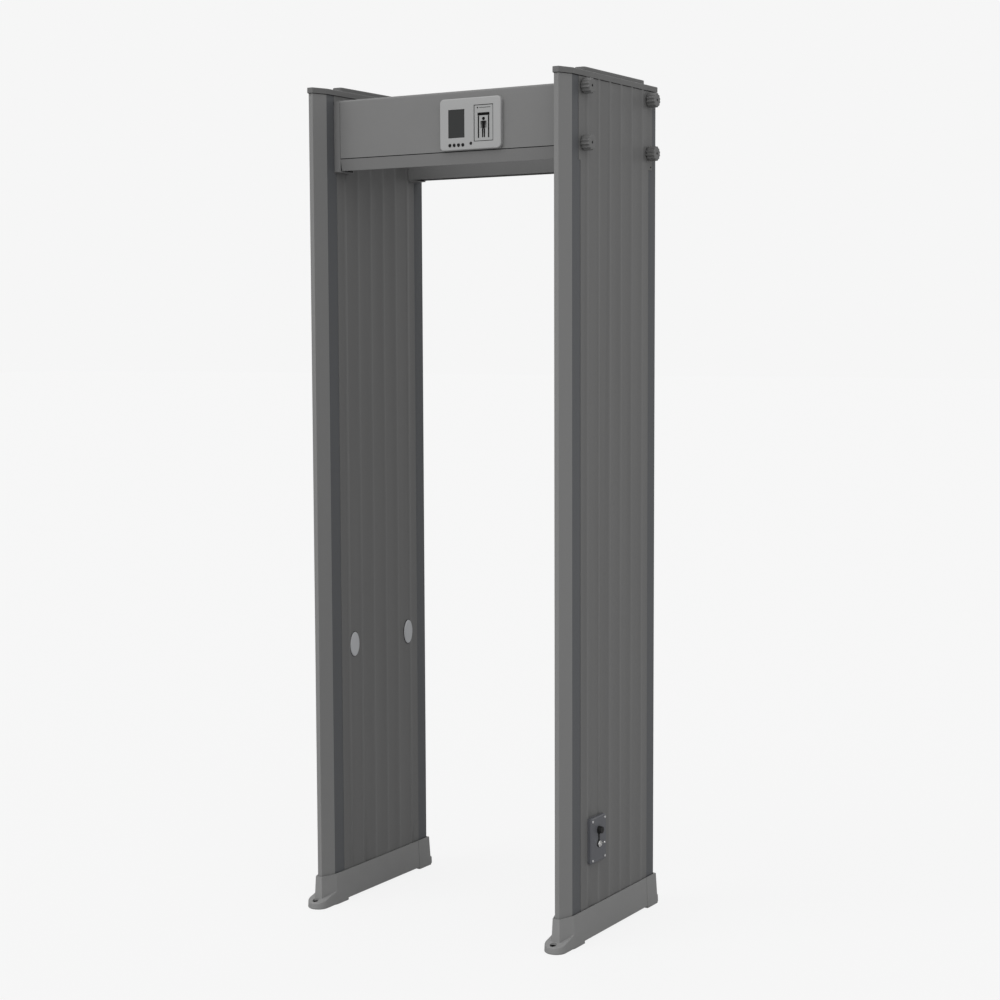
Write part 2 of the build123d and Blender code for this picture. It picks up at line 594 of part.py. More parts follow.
# ---------------------------------------------------------------- header
def make_bracket(front_y):
    """Pan-shaped end bracket between a beam and the right panel."""
    x_range = (BEAM_HALF_LENGTH, PASSAGE_WIDTH / 2)
    y_range = (front_y, front_y + BEAM_DEPTH)
    bracket = block(x_range, y_range, (BRACKET_BOTTOM, BEAM_TOP))
    bracket = fillet(bracket.edges().filter_by(Axis.X), BRACKET_WALL / 2)
    wall = BRACKET_WALL
    bracket -= block(
        (x_range[0], x_range[1] - wall), (y_range[0] + wall, y_range[1] - wall),
        (BRACKET_BOTTOM + wall, BEAM_TOP - wall),
    )
    for y, z in KNOB_PLACES.values():
        bracket -= rod_x(STUD_HOLE_RADIUS, x_range, y, z)
    return bracket


def beam_extrusion(points):
    """Solid along X on a front-to-back and height outline, the full length of a beam."""
    outline = Plane.YZ * make_face(Polyline(*points, close=True))
    return Pos(-BEAM_HALF_LENGTH, 0, 0) * extrude(outline, amount=2 * BEAM_HALF_LENGTH)


def make_beam_cover():
    """Folded cover with its visible face at y = 0: top, face, groove and set-back lower zone."""
    wall = COVER_WALL
    bottom = PASSAGE_HEIGHT
    outer = [
        (BEAM_DEPTH, BEAM_TOP), (0, BEAM_TOP), (0, COVER_FOLD_Z), (COVER_LOWER_SETBACK, bottom),
        (BEAM_DEPTH, bottom),
    ]
    cover = beam_extrusion(outer)
    long_edges = cover.edges().filter_by(Axis.X)
    top_edge = long_edges.filter_by_position(Axis.Z, BEAM_TOP - wall, BEAM_TOP + wall).sort_by(Axis.Y)[0]
    cover = fillet(top_edge, COVER_TOP_RADIUS)
    inner_foot = COVER_LOWER_SETBACK + wall
    inner = [
        (BEAM_DEPTH, BEAM_TOP - wall), (wall, BEAM_TOP - wall), (wall, COVER_FOLD_Z),
        (inner_foot, bottom), (BEAM_DEPTH, bottom),
    ]
    cover -= beam_extrusion(inner)
    half_groove = COVER_GROOVE_HEIGHT / 2
    groove_z = (COVER_FOLD_Z - half_groove, COVER_FOLD_Z + half_groove)
    length = (-BEAM_HALF_LENGTH, BEAM_HALF_LENGTH)
    return cover - block(length, (0, COVER_GROOVE_DEPTH), groove_z)


def make_control_cover():
    cover = Pos(0, CONTROL_FRONT_Y, 0) * make_beam_cover()
    half_width = BEZEL_WIDTH / 2 - BEZEL_SEAT
    half_height = BEZEL_HEIGHT / 2 - BEZEL_SEAT
    opening_x = (BEZEL_X - half_width, BEZEL_X + half_width)
    opening_z = (BEZEL_Z - half_height, BEZEL_Z + half_height)
    return cover - block(opening_x, (CONTROL_FRONT_Y, CONTROL_FRONT_Y + COVER_WALL), opening_z)


def make_rear_cover():
    turned = mirror(make_beam_cover(), about=Plane.XZ)
    return Pos(0, REAR_BEAM_FRONT_Y + BEAM_DEPTH, 0) * turned


def make_rear_plate():
    """Plate that closes the rear beam on the passage side, with a thicker lower edge."""
    top = BEAM_TOP - COVER_WALL
    half = BEAM_HALF_LENGTH
    y = REAR_BEAM_FRONT_Y
    plate = block((-half, half), (y, y + COVER_WALL), (PASSAGE_HEIGHT, top))
    lip_y = (y, y + 2 * COVER_WALL)
    plate += block((-half, half), lip_y, (PASSAGE_HEIGHT, PASSAGE_HEIGHT + BEAM_PLATE_LIP))
    return plate


def make_chassis():
    """Open-fronted channel that carries the electronics between the two brackets."""
    front, back, bottom, top = CHASSIS_FRONT, CHASSIS_BACK, CHASSIS_BOTTOM, CHASSIS_TOP
    length = (-CHASSIS_HALF_LENGTH, CHASSIS_HALF_LENGTH)
    wall = CHASSIS_WALL
    chassis = block(length, (front, back), (bottom, top))
    chassis -= block(length, (front + wall, back - wall), (bottom + wall, top - wall))
    chassis -= block(length, (front, front + wall), (bottom + CHASSIS_LIP, top - CHASSIS_LIP))
    chassis -= block(length, (front, front + COVER_LOWER_SETBACK + FIT), (bottom, COVER_FOLD_Z))
    return chassis


def make_bezel():
    """Display housing on the control cover, hollow behind its face."""
    face = Plane.XZ * RectangleRounded(BEZEL_WIDTH, BEZEL_HEIGHT, BEZEL_CORNER)
    bezel = Pos(BEZEL_X, CONTROL_FRONT_Y, BEZEL_Z) * extrude(face, amount=BEZEL_THICKNESS)
    front_edges = [edge for edge in bezel.edges() if edge.bounding_box().max.Y < BEZEL_FRONT_Y + FIT]
    bezel = fillet(front_edges, BEZEL_EDGE)
    room = 2 * BEZEL_WALL
    room_corner = BEZEL_CORNER - BEZEL_WALL
    hollow = Plane.XZ * RectangleRounded(BEZEL_WIDTH - room, BEZEL_HEIGHT - room, room_corner)
    depth = BEZEL_THICKNESS - BEZEL_WALL
    bezel -= Pos(BEZEL_X, CONTROL_FRONT_Y, BEZEL_Z) * extrude(hollow, amount=depth)
    bezel -= window_glass(SCREEN_X, SCREEN_Z, SCREEN_WIDTH + 2 * FIT, SCREEN_HEIGHT + 2 * FIT, 0)
    bezel -= window_glass(ZONE_X, BEZEL_Z, ZONE_WIDTH + 2 * FIT, ZONE_HEIGHT + 2 * FIT, 0)
    wall_y = (BEZEL_FRONT_Y, BEZEL_BACK_OF_WALL)
    for x in button_places():
        bezel -= rod_y(BUTTON_RADIUS + MOVING_GAP, wall_y, x, BUTTON_Z)
    return bezel - rod_y(EYE_RADIUS + FIT, wall_y, EYE_X, EYE_Z)


def window_glass(x, z, width, height, recess):
    """Part of a window that fills its opening in the bezel wall."""
    x_range = (x - width / 2, x + width / 2)
    z_range = (z - height / 2, z + height / 2)
    return block(x_range, (BEZEL_FRONT_Y + recess, BEZEL_BACK_OF_WALL), z_range)


def make_window(x, z, width, height):
    """Glass with a hidden edge that seats on the back of the bezel wall."""
    glass = window_glass(x, z, width, height, WINDOW_RECESS)
    half_width = width / 2 + WINDOW_FLANGE
    half_height = height / 2 + WINDOW_FLANGE
    seat = (BEZEL_BACK_OF_WALL, BEZEL_BACK_OF_WALL + WINDOW_BACK)
    return glass + block((x - half_width, x + half_width), seat, (z - half_height, z + half_height))


def button_places():
    return [BUTTON_FIRST_X + number * BUTTON_PITCH for number in range(BUTTON_COUNT)]


def make_button(x):
    """Round push button, held behind the bezel wall by its flange."""
    front = BEZEL_FRONT_Y - BUTTON_PROUD
    seat = BEZEL_BACK_OF_WALL
    button = rod_y(BUTTON_RADIUS, (front, seat + BUTTON_FLANGE), x, BUTTON_Z)
    rim = [edge for edge in button.edges() if edge.center().Y < front + FIT]
    button = fillet(rim, BUTTON_PROUD / 2)
    flange_radius = BUTTON_RADIUS + BUTTON_FLANGE_OVERHANG
    return button + rod_y(flange_radius, (seat, seat + BUTTON_FLANGE), x, BUTTON_Z)


def make_infrared_eye():
    """Domed receiver in the bezel wall, with a flange behind it."""
    front = BEZEL_FRONT_Y - WINDOW_RECESS
    seat = BEZEL_BACK_OF_WALL
    eye = rod_y(EYE_RADIUS, (front, seat + WINDOW_BACK), EYE_X, EYE_Z)
    rim = [edge for edge in eye.edges() if edge.center().Y < front + FIT]
    eye = fillet(rim, WINDOW_RECESS)
    return eye + rod_y(EYE_RADIUS + EYE_FLANGE, (seat, seat + WINDOW_BACK), EYE_X, EYE_Z)


def make_control_board():
    """Main circuit board on four posts, on the back wall of the chassis."""
    width, thickness, height = CONTROL_BOARD
    post_y = (CHASSIS_SEAT_Y - BUZZER_HEIGHT, CHASSIS_SEAT_Y)
    plate_y = (post_y[0] - thickness, post_y[0])
    x_range = (BEZEL_X - width / 2, BEZEL_X + width / 2)
    z_range = (CHASSIS_MIDDLE_Z - height / 2, CHASSIS_MIDDLE_Z + height / 2)
    board = block(x_range, plate_y, z_range)
    for side_x in (-1, 1):
        for side_z in (-1, 1):
            x = BEZEL_X + side_x * (width / 2 - 2 * BOARD_POST_RADIUS)
            z = CHASSIS_MIDDLE_Z + side_z * (height / 2 - 2 * BOARD_POST_RADIUS)
            board += rod_y(BOARD_POST_RADIUS, post_y, x, z)
    return board


def make_power_unit():
    """Boxed power supply on the chassis floor, against its back wall."""
    width, depth, height = POWER_UNIT
    x_range = (POWER_UNIT_X - width / 2, POWER_UNIT_X + width / 2)
    floor = CHASSIS_BOTTOM + CHASSIS_WALL
    unit = block(x_range, (CHASSIS_SEAT_Y - depth, CHASSIS_SEAT_Y), (floor, floor + height))
    return fillet(unit.edges().filter_by(Axis.Y), CHASSIS_WALL)


def make_buzzer():
    """Round sounder on the back wall of the chassis."""
    front = CHASSIS_SEAT_Y - BUZZER_HEIGHT
    sounder = rod_y(BUZZER_RADIUS, (front, CHASSIS_SEAT_Y), BUZZER_X, CHASSIS_MIDDLE_Z)
    mouth = (front, front + BUZZER_HEIGHT / 2)
    return sounder - rod_y(BUZZER_HOLE_RADIUS, mouth, BUZZER_X, CHASSIS_MIDDLE_Z)


# ---------------------------------------------------------------- power inlet on the right panel
def inlet_screw_places():
    half_y = INLET_WIDTH / 2 - INLET_SCREW_INSET
    half_z = INLET_HEIGHT / 2 - INLET_SCREW_INSET
    return [(INLET_Y + a * half_y, INLET_Z + b * half_z) for a in (-1, 1) for b in (-1, 1)]


def make_inlet_plate():
    """Thick moulded plate with chamfered edges, hollow behind its face."""
    outline = Plane.YZ * RectangleRounded(INLET_WIDTH, INLET_HEIGHT, INLET_CORNER)
    plate = Pos(HALF_PANEL, INLET_Y, INLET_Z) * extrude(outline, amount=INLET_THICKNESS)
    front_edges = [edge for edge in plate.edges() if edge.bounding_box().min.X > INLET_FACE - FIT]
    plate = chamfer(front_edges, INLET_CHAMFER)
    half_y = INLET_WIDTH / 2 - INLET_SEAT
    half_z = INLET_HEIGHT / 2 - INLET_SEAT
    plate -= block(
        (HALF_PANEL, INLET_FACE - INLET_WALL), (INLET_Y - half_y, INLET_Y + half_y),
        (INLET_Z - half_z, INLET_Z + half_z),
    )
    through = (HALF_PANEL, INLET_FACE)
    plate -= rod_x(SOCKET_BODY_RADIUS + FIT, through, INLET_Y, SOCKET_Z)
    plate -= rod_x(SWITCH_BUSH_RADIUS + FIT, through, INLET_Y, SWITCH_Z)
    for y, z in inlet_screw_places():
        plate -= rod_x(INLET_SCREW_RADIUS + FIT, through, y, z)
    return plate


def make_inlet_screw(y, z):
    head_top = INLET_FACE + INLET_SCREW_HEAD_HEIGHT
    head = rod_x(INLET_SCREW_HEAD, (INLET_FACE, head_top), y, z)
    rim = [edge for edge in head.edges() if edge.center().X > head_top - FIT]
    half_head = INLET_SCREW_HEAD_HEIGHT / 2
    head = fillet(rim, half_head)
    head -= rod_x(INLET_SCREW_RADIUS / 2, (INLET_FACE + half_head, head_top), y, z)
    return head + rod_x(INLET_SCREW_RADIUS, (BOARD_BACK, INLET_FACE), y, z)


def make_inlet_screws():
    return Compound(children=[make_inlet_screw(y, z) for y, z in inlet_screw_places()])


def make_power_socket():
    """Round low-voltage socket: flange on the plate, nose outside, body inside the panel."""
    flange_top = INLET_FACE + SOCKET_FLANGE_THICKNESS
    socket = rod_x(SOCKET_FLANGE_RADIUS, (INLET_FACE, flange_top), INLET_Y, SOCKET_Z)
    nose = (flange_top, flange_top + SOCKET_NOSE_LENGTH)
    socket += rod_x(SOCKET_NOSE_RADIUS, nose, INLET_Y, SOCKET_Z)
    socket += rod_x(SOCKET_BODY_RADIUS, (BOARD_BACK - SOCKET_BACK, INLET_FACE), INLET_Y, SOCKET_Z)
    socket -= rod_x(SOCKET_NOSE_RADIUS / 2, nose, INLET_Y, SOCKET_Z)
    return socket


def make_dust_cap():
    """Rubber cap on the socket, with its strap and the loop under the switch nut."""
    base = INLET_FACE + SOCKET_FLANGE_THICKNESS
    nose_end = base + SOCKET_NOSE_LENGTH
    radius = SOCKET_NOSE_RADIUS + DUST_CAP_WALL
    cap_end = nose_end + DUST_CAP_WALL
    cap = rod_x(radius, (base, cap_end), INLET_Y, SOCKET_Z)
    rim = [edge for edge in cap.edges() if edge.center().X > cap_end - FIT]
    cap = fillet(rim, DUST_CAP_WALL / 2)
    cap -= rod_x(SOCKET_NOSE_RADIUS, (base, nose_end), INLET_Y, SOCKET_Z)
    loop_x = (INLET_FACE, INLET_FACE + STRAP_THICKNESS)
    loop = rod_x(SWITCH_NUT_RADIUS + LOOP_OVERHANG, loop_x, INLET_Y, SWITCH_Z)
    strap_y = (INLET_Y - STRAP_WIDTH / 2, INLET_Y + STRAP_WIDTH / 2)
    rise_z = SOCKET_Z - SOCKET_FLANGE_RADIUS - STRAP_THICKNESS - FIT
    rise_top = rise_z + STRAP_THICKNESS
    strap = block(loop_x, strap_y, (SWITCH_Z, rise_top))
    strap += block((INLET_FACE, base + STRAP_THICKNESS), strap_y, (rise_z, rise_top))
    link_x = (base + FIT, base + STRAP_THICKNESS)
    strap += block(link_x, strap_y, (rise_z, SOCKET_Z - SOCKET_NOSE_RADIUS - LINK_OVERLAP))
    tether = strap + loop
    tether -= rod_x(SWITCH_BUSH_RADIUS + FIT, loop_x, INLET_Y, SWITCH_Z)
    return cap + tether


def make_toggle_switch():
    """Switch body inside the panel and its threaded bush through the plate."""
    depth, width, height = SWITCH_BODY
    back_of_face = INLET_FACE - INLET_WALL
    switch = block(
        (back_of_face - depth, back_of_face), (INLET_Y - width / 2, INLET_Y + width / 2),
        (SWITCH_Z - height / 2, SWITCH_Z + height / 2),
    )
    rim = INLET_FACE + SWITCH_BUSH_PROUD
    switch += rod_x(SWITCH_BUSH_RADIUS, (back_of_face, rim), INLET_Y, SWITCH_Z)
    pivot = rim - LEVER_PIVOT_INSET
    bore_start = pivot - LEVER_BALL_RADIUS - MOVING_GAP
    switch -= rod_x(SWITCH_BORE_RADIUS, (bore_start, rim), INLET_Y, SWITCH_Z)
    return switch


def make_toggle_nut():
    inner = INLET_FACE + STRAP_THICKNESS
    x_range = (inner, inner + SWITCH_NUT_THICKNESS)
    hexagon = Plane.YZ * RegularPolygon(SWITCH_NUT_RADIUS, 6)
    nut = Pos(x_range[0], INLET_Y, SWITCH_Z) * extrude(hexagon, amount=SWITCH_NUT_THICKNESS)
    return nut - rod_x(SWITCH_BUSH_RADIUS, x_range, INLET_Y, SWITCH_Z)


def make_toggle_lever():
    """Bat-shaped lever on a ball, tilted up in its rest position."""
    pivot_x = INLET_FACE + SWITCH_BUSH_PROUD - LEVER_PIVOT_INSET
    lever = Sphere(LEVER_BALL_RADIUS)
    shaft = Pos(0, 0, LEVER_LENGTH / 2) * Cone(LEVER_ROOT_RADIUS, LEVER_TIP_RADIUS, LEVER_LENGTH)
    lever += shaft
    lever += Pos(0, 0, LEVER_LENGTH) * Sphere(LEVER_TIP_RADIUS)
    tilted = Rot(0, 90 - LEVER_TILT, 0) * lever
    return Pos(pivot_x, INLET_Y, SWITCH_Z) * tilted


# ---------------------------------------------------------------- assembly
def on_side(side, shape):
    """Carry a piece drawn about the panel's own centre line out to its side of the passage."""
    placed = Pos(PANEL_X, 0, 0) * shape
    if side == "left":
        placed = mirror(placed, about=Plane.YZ)
    return placed


def side_pieces(side):
    """The fixed pieces of one panel, by node name."""
    with_inlet = side == "right"
    pieces = {
        "front_post": make_front_post(),
        "rear_post": make_rear_post(),
        "front_nose": make_nose(),
        "outer_board": make_outer_board(with_inlet),
        "inner_board": make_inner_board(),
        "top_cap": make_cap(),
        "base_shoe": make_shoe(),
        "coil_frame": make_coil_frame(),
        "coil": make_coil(),
        "front_sensor_window": make_sensor_window(SENSOR_FRONT_Y),
        "rear_sensor_window": make_sensor_window(SENSOR_REAR_Y),
    }
    for place, (y, z) in KNOB_PLACES.items():
        pieces[place + "_knob"] = make_knob(y, z)
    return {side + "_" + name: on_side(side, shape) for name, shape in pieces.items()}


def header_pieces():
    pieces = {
        "control_cover": make_control_cover(),
        "control_chassis": make_chassis(),
        "rear_beam_cover": make_rear_cover(),
        "rear_beam_plate": make_rear_plate(),
        "display_bezel": make_bezel(),
        "display_screen": make_window(SCREEN_X, SCREEN_Z, SCREEN_WIDTH, SCREEN_HEIGHT),
        "zone_window": make_window(ZONE_X, BEZEL_Z, ZONE_WIDTH, ZONE_HEIGHT),
        "infrared_eye": make_infrared_eye(),
        "control_board": make_control_board(),
        "power_unit": make_power_unit(),
        "buzzer": make_buzzer(),
    }
    for name, front_y in (("front", CONTROL_FRONT_Y), ("rear", REAR_BEAM_FRONT_Y)):
        bracket = make_bracket(front_y)
        pieces["right_" + name + "_bracket"] = bracket
        pieces["left_" + name + "_bracket"] = mirror(bracket, about=Plane.YZ)
    for number, x in enumerate(button_places(), start=1):
        pieces["button_" + str(number)] = make_button(x)
    return pieces


def inlet_pieces():
    pieces = {
        "inlet_plate": make_inlet_plate(),
        "inlet_screws": make_inlet_screws(),
        "power_socket": make_power_socket(),
        "dust_cap": make_dust_cap(),
        "toggle_switch": make_toggle_switch(),
        "toggle_nut": make_toggle_nut(),
        "toggle_lever": make_toggle_lever(),
    }
    return {name: on_side("right", shape) for name, shape in pieces.items()}


def shared_groups():
    """Small repeated pieces that share a node: one solid for each."""
    bushes = []
    boards = []
    for side in ("left", "right"):
        bushes += [on_side(side, make_clamp_bush(y, z)) for y, z in KNOB_PLACES.values()]
        boards += [on_side(side, make_sensor_board(y)) for y in (SENSOR_FRONT_Y, SENSOR_REAR_Y)]
    return {"clamp_bushes": Compound(children=bushes), "sensor_boards": Compound(children=boards)}


def main():
    os.makedirs("parts", exist_ok=True)
    pieces = {}
    pieces.update(side_pieces("left"))
    pieces.update(side_pieces("right"))
    pieces.update(header_pieces())
    pieces.update(inlet_pieces())
    pieces.update(shared_groups())
    for name, shape in pieces.items():
        export_step(shape, "parts/" + name + ".step")
    print(len(pieces), "nodes written")


main()
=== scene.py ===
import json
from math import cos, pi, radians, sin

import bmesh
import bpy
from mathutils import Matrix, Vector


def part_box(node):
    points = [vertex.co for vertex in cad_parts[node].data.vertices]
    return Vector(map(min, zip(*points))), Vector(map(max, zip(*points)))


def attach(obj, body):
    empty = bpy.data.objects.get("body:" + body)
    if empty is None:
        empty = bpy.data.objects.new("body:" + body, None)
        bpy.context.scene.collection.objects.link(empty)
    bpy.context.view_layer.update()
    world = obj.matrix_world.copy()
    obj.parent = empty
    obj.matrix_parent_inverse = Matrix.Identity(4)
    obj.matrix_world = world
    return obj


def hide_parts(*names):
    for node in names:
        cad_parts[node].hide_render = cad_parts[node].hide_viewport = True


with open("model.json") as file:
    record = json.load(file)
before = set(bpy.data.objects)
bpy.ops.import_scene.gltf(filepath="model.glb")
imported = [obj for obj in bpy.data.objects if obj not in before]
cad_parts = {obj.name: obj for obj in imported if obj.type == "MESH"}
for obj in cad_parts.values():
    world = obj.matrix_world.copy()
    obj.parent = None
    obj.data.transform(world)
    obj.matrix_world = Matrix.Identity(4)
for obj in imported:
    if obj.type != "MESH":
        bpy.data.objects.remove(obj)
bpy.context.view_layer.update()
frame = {"nodes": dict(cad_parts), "record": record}

# %% [markdown]
# # Walk-through detector gate
# Two ribbed side panels stand in moulded shoes and carry two beams over the passage. The front
# beam is the control unit with its display; the rear beam only ties the panels together.
# The measured model is the frame of this lesson: it gives every size and every moving body, and
# the cells below give it finishes, smooth edges and the small parts that make it look real.

NODES = frame["nodes"]
MM = 0.001

# %% [markdown]
# ## Where we stand
# A product picture of something this tall is taken with a long lens from a few metres away, at
# chest height, so that the uprights stay nearly parallel. The camera is built from its place and
# three turns instead of a look-at target, because a small roll can then be given as it is.

# %% Camera
CAMERA_PLACE = Vector((2.7572, -4.3969, 1.5698))
CAMERA_YAW = radians(31.55)      # to the left of straight ahead (+Y)
CAMERA_PITCH = radians(-4.93)
CAMERA_ROLL = radians(-0.21)
LENS = 69.02                     # in millimetres, as is the sensor
SENSOR_WIDTH = 36.0
SIGHT = 200.0                    # nothing farther away than this is drawn


def camera_axes(yaw, pitch, roll):
    """Right, up and backward directions of a camera that looks along +Y when nothing is turned."""
    ahead = Vector((-sin(yaw) * cos(pitch), cos(yaw) * cos(pitch), sin(pitch)))
    level = ahead.cross(Vector((0, 0, 1))).normalized()
    upright = level.cross(ahead)
    right = cos(roll) * level + sin(roll) * upright
    up = cos(roll) * upright - sin(roll) * level
    return right, up, -ahead


camera_data = bpy.data.cameras.new("product_camera")
camera_data.lens = LENS
camera_data.sensor_width = SENSOR_WIDTH
camera_data.clip_end = SIGHT
camera = bpy.data.objects.new("product_camera", camera_data)
bpy.context.scene.collection.objects.link(camera)
turned = Matrix(camera_axes(CAMERA_YAW, CAMERA_PITCH, CAMERA_ROLL)).transposed().to_4x4()
camera.matrix_world = Matrix.Translation(CAMERA_PLACE) @ turned
bpy.context.scene.camera = camera
bpy.context.scene.view_settings.view_transform = "Standard"
print("camera stands", round(CAMERA_PLACE.length, 2), "m from the foot of the passage")

# %% [markdown]
# ## Light and floor
# The gate is dull grey, so it needs light that wraps round it: a pale surround for the fill and
# three wide suns, a strong one high in front and two weaker ones on the right and behind. A sun
# with a wide angle is a very large, very distant softbox: it shades the whole height evenly.
# The surround is brighter for the camera than for the gate. That keeps the ground pale without
# washing the dark faces out, and it is done on the stage only, never on the gate.

# %% Surround and suns
PALE = 0.922                     # tone of the ground all round
FILL = 0.60                      # strength of the surround as a light


def new_nodes(tree):
    """A function that adds a node of a kind, sets its properties, and returns it."""
    def add(kind, **settings):
        node = tree.nodes.new(kind)
        for name, value in settings.items():
            setattr(node, name, value)
        return node
    return add


world = bpy.data.worlds.new("pale_surround")
world.use_nodes = True
bpy.context.scene.world = world
world.node_tree.nodes.clear()
add = new_nodes(world.node_tree)
seen = add("ShaderNodeBackground")
seen.inputs["Color"].default_value = (PALE, PALE, PALE, 1)
fill = add("ShaderNodeBackground")
fill.inputs["Color"].default_value = (1, 1, 1, 1)
fill.inputs["Strength"].default_value = FILL
ray = add("ShaderNodeLightPath")
choose = add("ShaderNodeMixShader")
world_out = add("ShaderNodeOutputWorld")
join = world.node_tree.links.new
join(ray.outputs["Is Camera Ray"], choose.inputs[0])
join(fill.outputs[0], choose.inputs[1])
join(seen.outputs[0], choose.inputs[2])
join(choose.outputs[0], world_out.inputs[0])

SUNS = {
    # name: (heading it comes from, degrees from -Y towards +X; height in degrees; strength; angle)
    "front_softbox": (-22.0, 42.0, 1.15, 50.0),
    "right_softbox": (50.0, 30.0, 0.43, 60.0),
    "rear_softbox": (195.0, 40.0, 0.45, 60.0),
}
for name, (heading, height, strength, spread) in SUNS.items():
    sun_data = bpy.data.lights.new(name, "SUN")
    sun_data.energy = strength
    sun_data.angle = radians(spread)
    sun = bpy.data.objects.new(name, sun_data)
    bpy.context.scene.collection.objects.link(sun)
    towards = Vector((
        sin(radians(heading)) * cos(radians(height)),
        -cos(radians(heading)) * cos(radians(height)),
        sin(radians(height)),
    ))
    sun.rotation_euler = towards.to_track_quat("Z", "Y").to_euler()
print("suns:", ", ".join(SUNS))

# %% Floor
FLOOR_HALF = 60.0                # metres from the middle to an edge
FLOOR_SHARE = 0.07               # share of the floor's tone that shadows can take away
FLOOR_BOUNCE = 0.50              # how much of the light the floor gives back to the gate

floor_mesh = bpy.data.meshes.new("studio_floor")
floor_mesh.from_pydata(
    [(-FLOOR_HALF, -FLOOR_HALF, 0), (FLOOR_HALF, -FLOOR_HALF, 0),
     (FLOOR_HALF, FLOOR_HALF, 0), (-FLOOR_HALF, FLOOR_HALF, 0)],
    [], [(0, 1, 2, 3)])
floor = bpy.data.objects.new("studio_floor", floor_mesh)
bpy.context.scene.collection.objects.link(floor)
paper = bpy.data.materials.new("floor_paper")
paper.use_nodes = True
paper.node_tree.nodes.clear()
add = new_nodes(paper.node_tree)
join = paper.node_tree.links.new
glow = add("ShaderNodeEmission")
glow.inputs["Color"].default_value = (PALE * (1 - FLOOR_SHARE),) * 3 + (1,)
dull = add("ShaderNodeBsdfDiffuse")
dull.inputs["Color"].default_value = (FLOOR_SHARE,) * 3 + (1,)
bounce = add("ShaderNodeBsdfDiffuse")
bounce.inputs["Color"].default_value = (FLOOR_BOUNCE,) * 3 + (1,)
both = add("ShaderNodeAddShader")
ray = add("ShaderNodeLightPath")
choose = add("ShaderNodeMixShader")
paper_out = add("ShaderNodeOutputMaterial")
join(glow.outputs[0], both.inputs[0])
join(dull.outputs[0], both.inputs[1])
join(ray.outputs["Is Camera Ray"], choose.inputs[0])
join(bounce.outputs[0], choose.inputs[1])
join(both.outputs[0], choose.inputs[2])
join(choose.outputs[0], paper_out.inputs[0])
floor_mesh.materials.append(paper)
print("floor:", 2 * FLOOR_HALF, "m square")

# %% [markdown]
# ## Finishes
# Nearly all of the gate is grey moulding or grey paint, and such surfaces differ in small things:
# a moulding has a fine spark-eroded grain, paint has a soft orange peel, and both carry faint
# clouds of tone. One recipe makes them all from object coordinates: a cloud noise moves the
# colour a little, a second one moves the roughness, and a fine noise gives the grain.

# %% The recipe for a finish
ROUGHNESS_SWING = 0.12           # share by which the roughness rises and falls
GRAIN_RELIEF = 0.15              # height of the grain as a share of its size
UNEVEN_PER_CLOUD = 4             # patches of roughness are this much finer than the clouds


def finish(name, colour, roughness, clouds=0.04, cloud_size=0.09, grain=0.12, grain_size=0.0011,
           metallic=0.0, gloss=0.35, drawn=1.0):
    """A procedural material: cloudy colour, uneven roughness and a fine grain, in metres.

    drawn below 1 pulls the clouds out along Z, as on a long moulding that was pushed through a die.
    """
    made = bpy.data.materials.new(name)
    made.use_nodes = True
    tree = made.node_tree
    add = new_nodes(tree)
    join = tree.links.new
    shader = tree.nodes["Principled BSDF"]
    place = add("ShaderNodeTexCoord")
    pulled = add("ShaderNodeMapping")
    pulled.inputs["Scale"].default_value = (1.0, 1.0, drawn)
    join(place.outputs["Object"], pulled.inputs["Vector"])
    cloud = add("ShaderNodeTexNoise", noise_dimensions="3D")
    cloud.inputs["Scale"].default_value = 1 / cloud_size
    cloud.inputs["Detail"].default_value = 5.0
    cloud.inputs["Roughness"].default_value = 0.6
    tint = add("ShaderNodeMix", data_type="RGBA")
    darker = [channel * (1 - clouds) for channel in colour]
    lighter = [min(1.0, channel * (1 + clouds)) for channel in colour]
    tint.inputs["A"].default_value = (*darker, 1)
    tint.inputs["B"].default_value = (*lighter, 1)
    uneven = add("ShaderNodeTexNoise", noise_dimensions="3D")
    uneven.inputs["Scale"].default_value = UNEVEN_PER_CLOUD / cloud_size
    uneven.inputs["Detail"].default_value = 3.0
    spread = add("ShaderNodeMapRange")
    spread.inputs["To Min"].default_value = roughness * (1 - ROUGHNESS_SWING)
    spread.inputs["To Max"].default_value = min(1.0, roughness * (1 + ROUGHNESS_SWING))
    fine = add("ShaderNodeTexNoise", noise_dimensions="3D")
    fine.inputs["Scale"].default_value = 1 / grain_size
    fine.inputs["Detail"].default_value = 2.0
    relief = add("ShaderNodeBump")
    relief.inputs["Strength"].default_value = grain
    relief.inputs["Distance"].default_value = GRAIN_RELIEF * grain_size
    for texture in (cloud, uneven):
        join(pulled.outputs["Vector"], texture.inputs["Vector"])
    join(place.outputs["Object"], fine.inputs["Vector"])
    join(cloud.outputs["Fac"], tint.inputs["Factor"])
    join(tint.outputs["Result"], shader.inputs["Base Color"])
    join(uneven.outputs["Fac"], spread.inputs["Value"])
    join(spread.outputs["Result"], shader.inputs["Roughness"])
    join(fine.outputs["Fac"], relief.inputs["Height"])
    join(relief.outputs["Normal"], shader.inputs["Normal"])
    shader.inputs["Metallic"].default_value = metallic
    shader.inputs["Specular IOR Level"].default_value = gloss
    return made


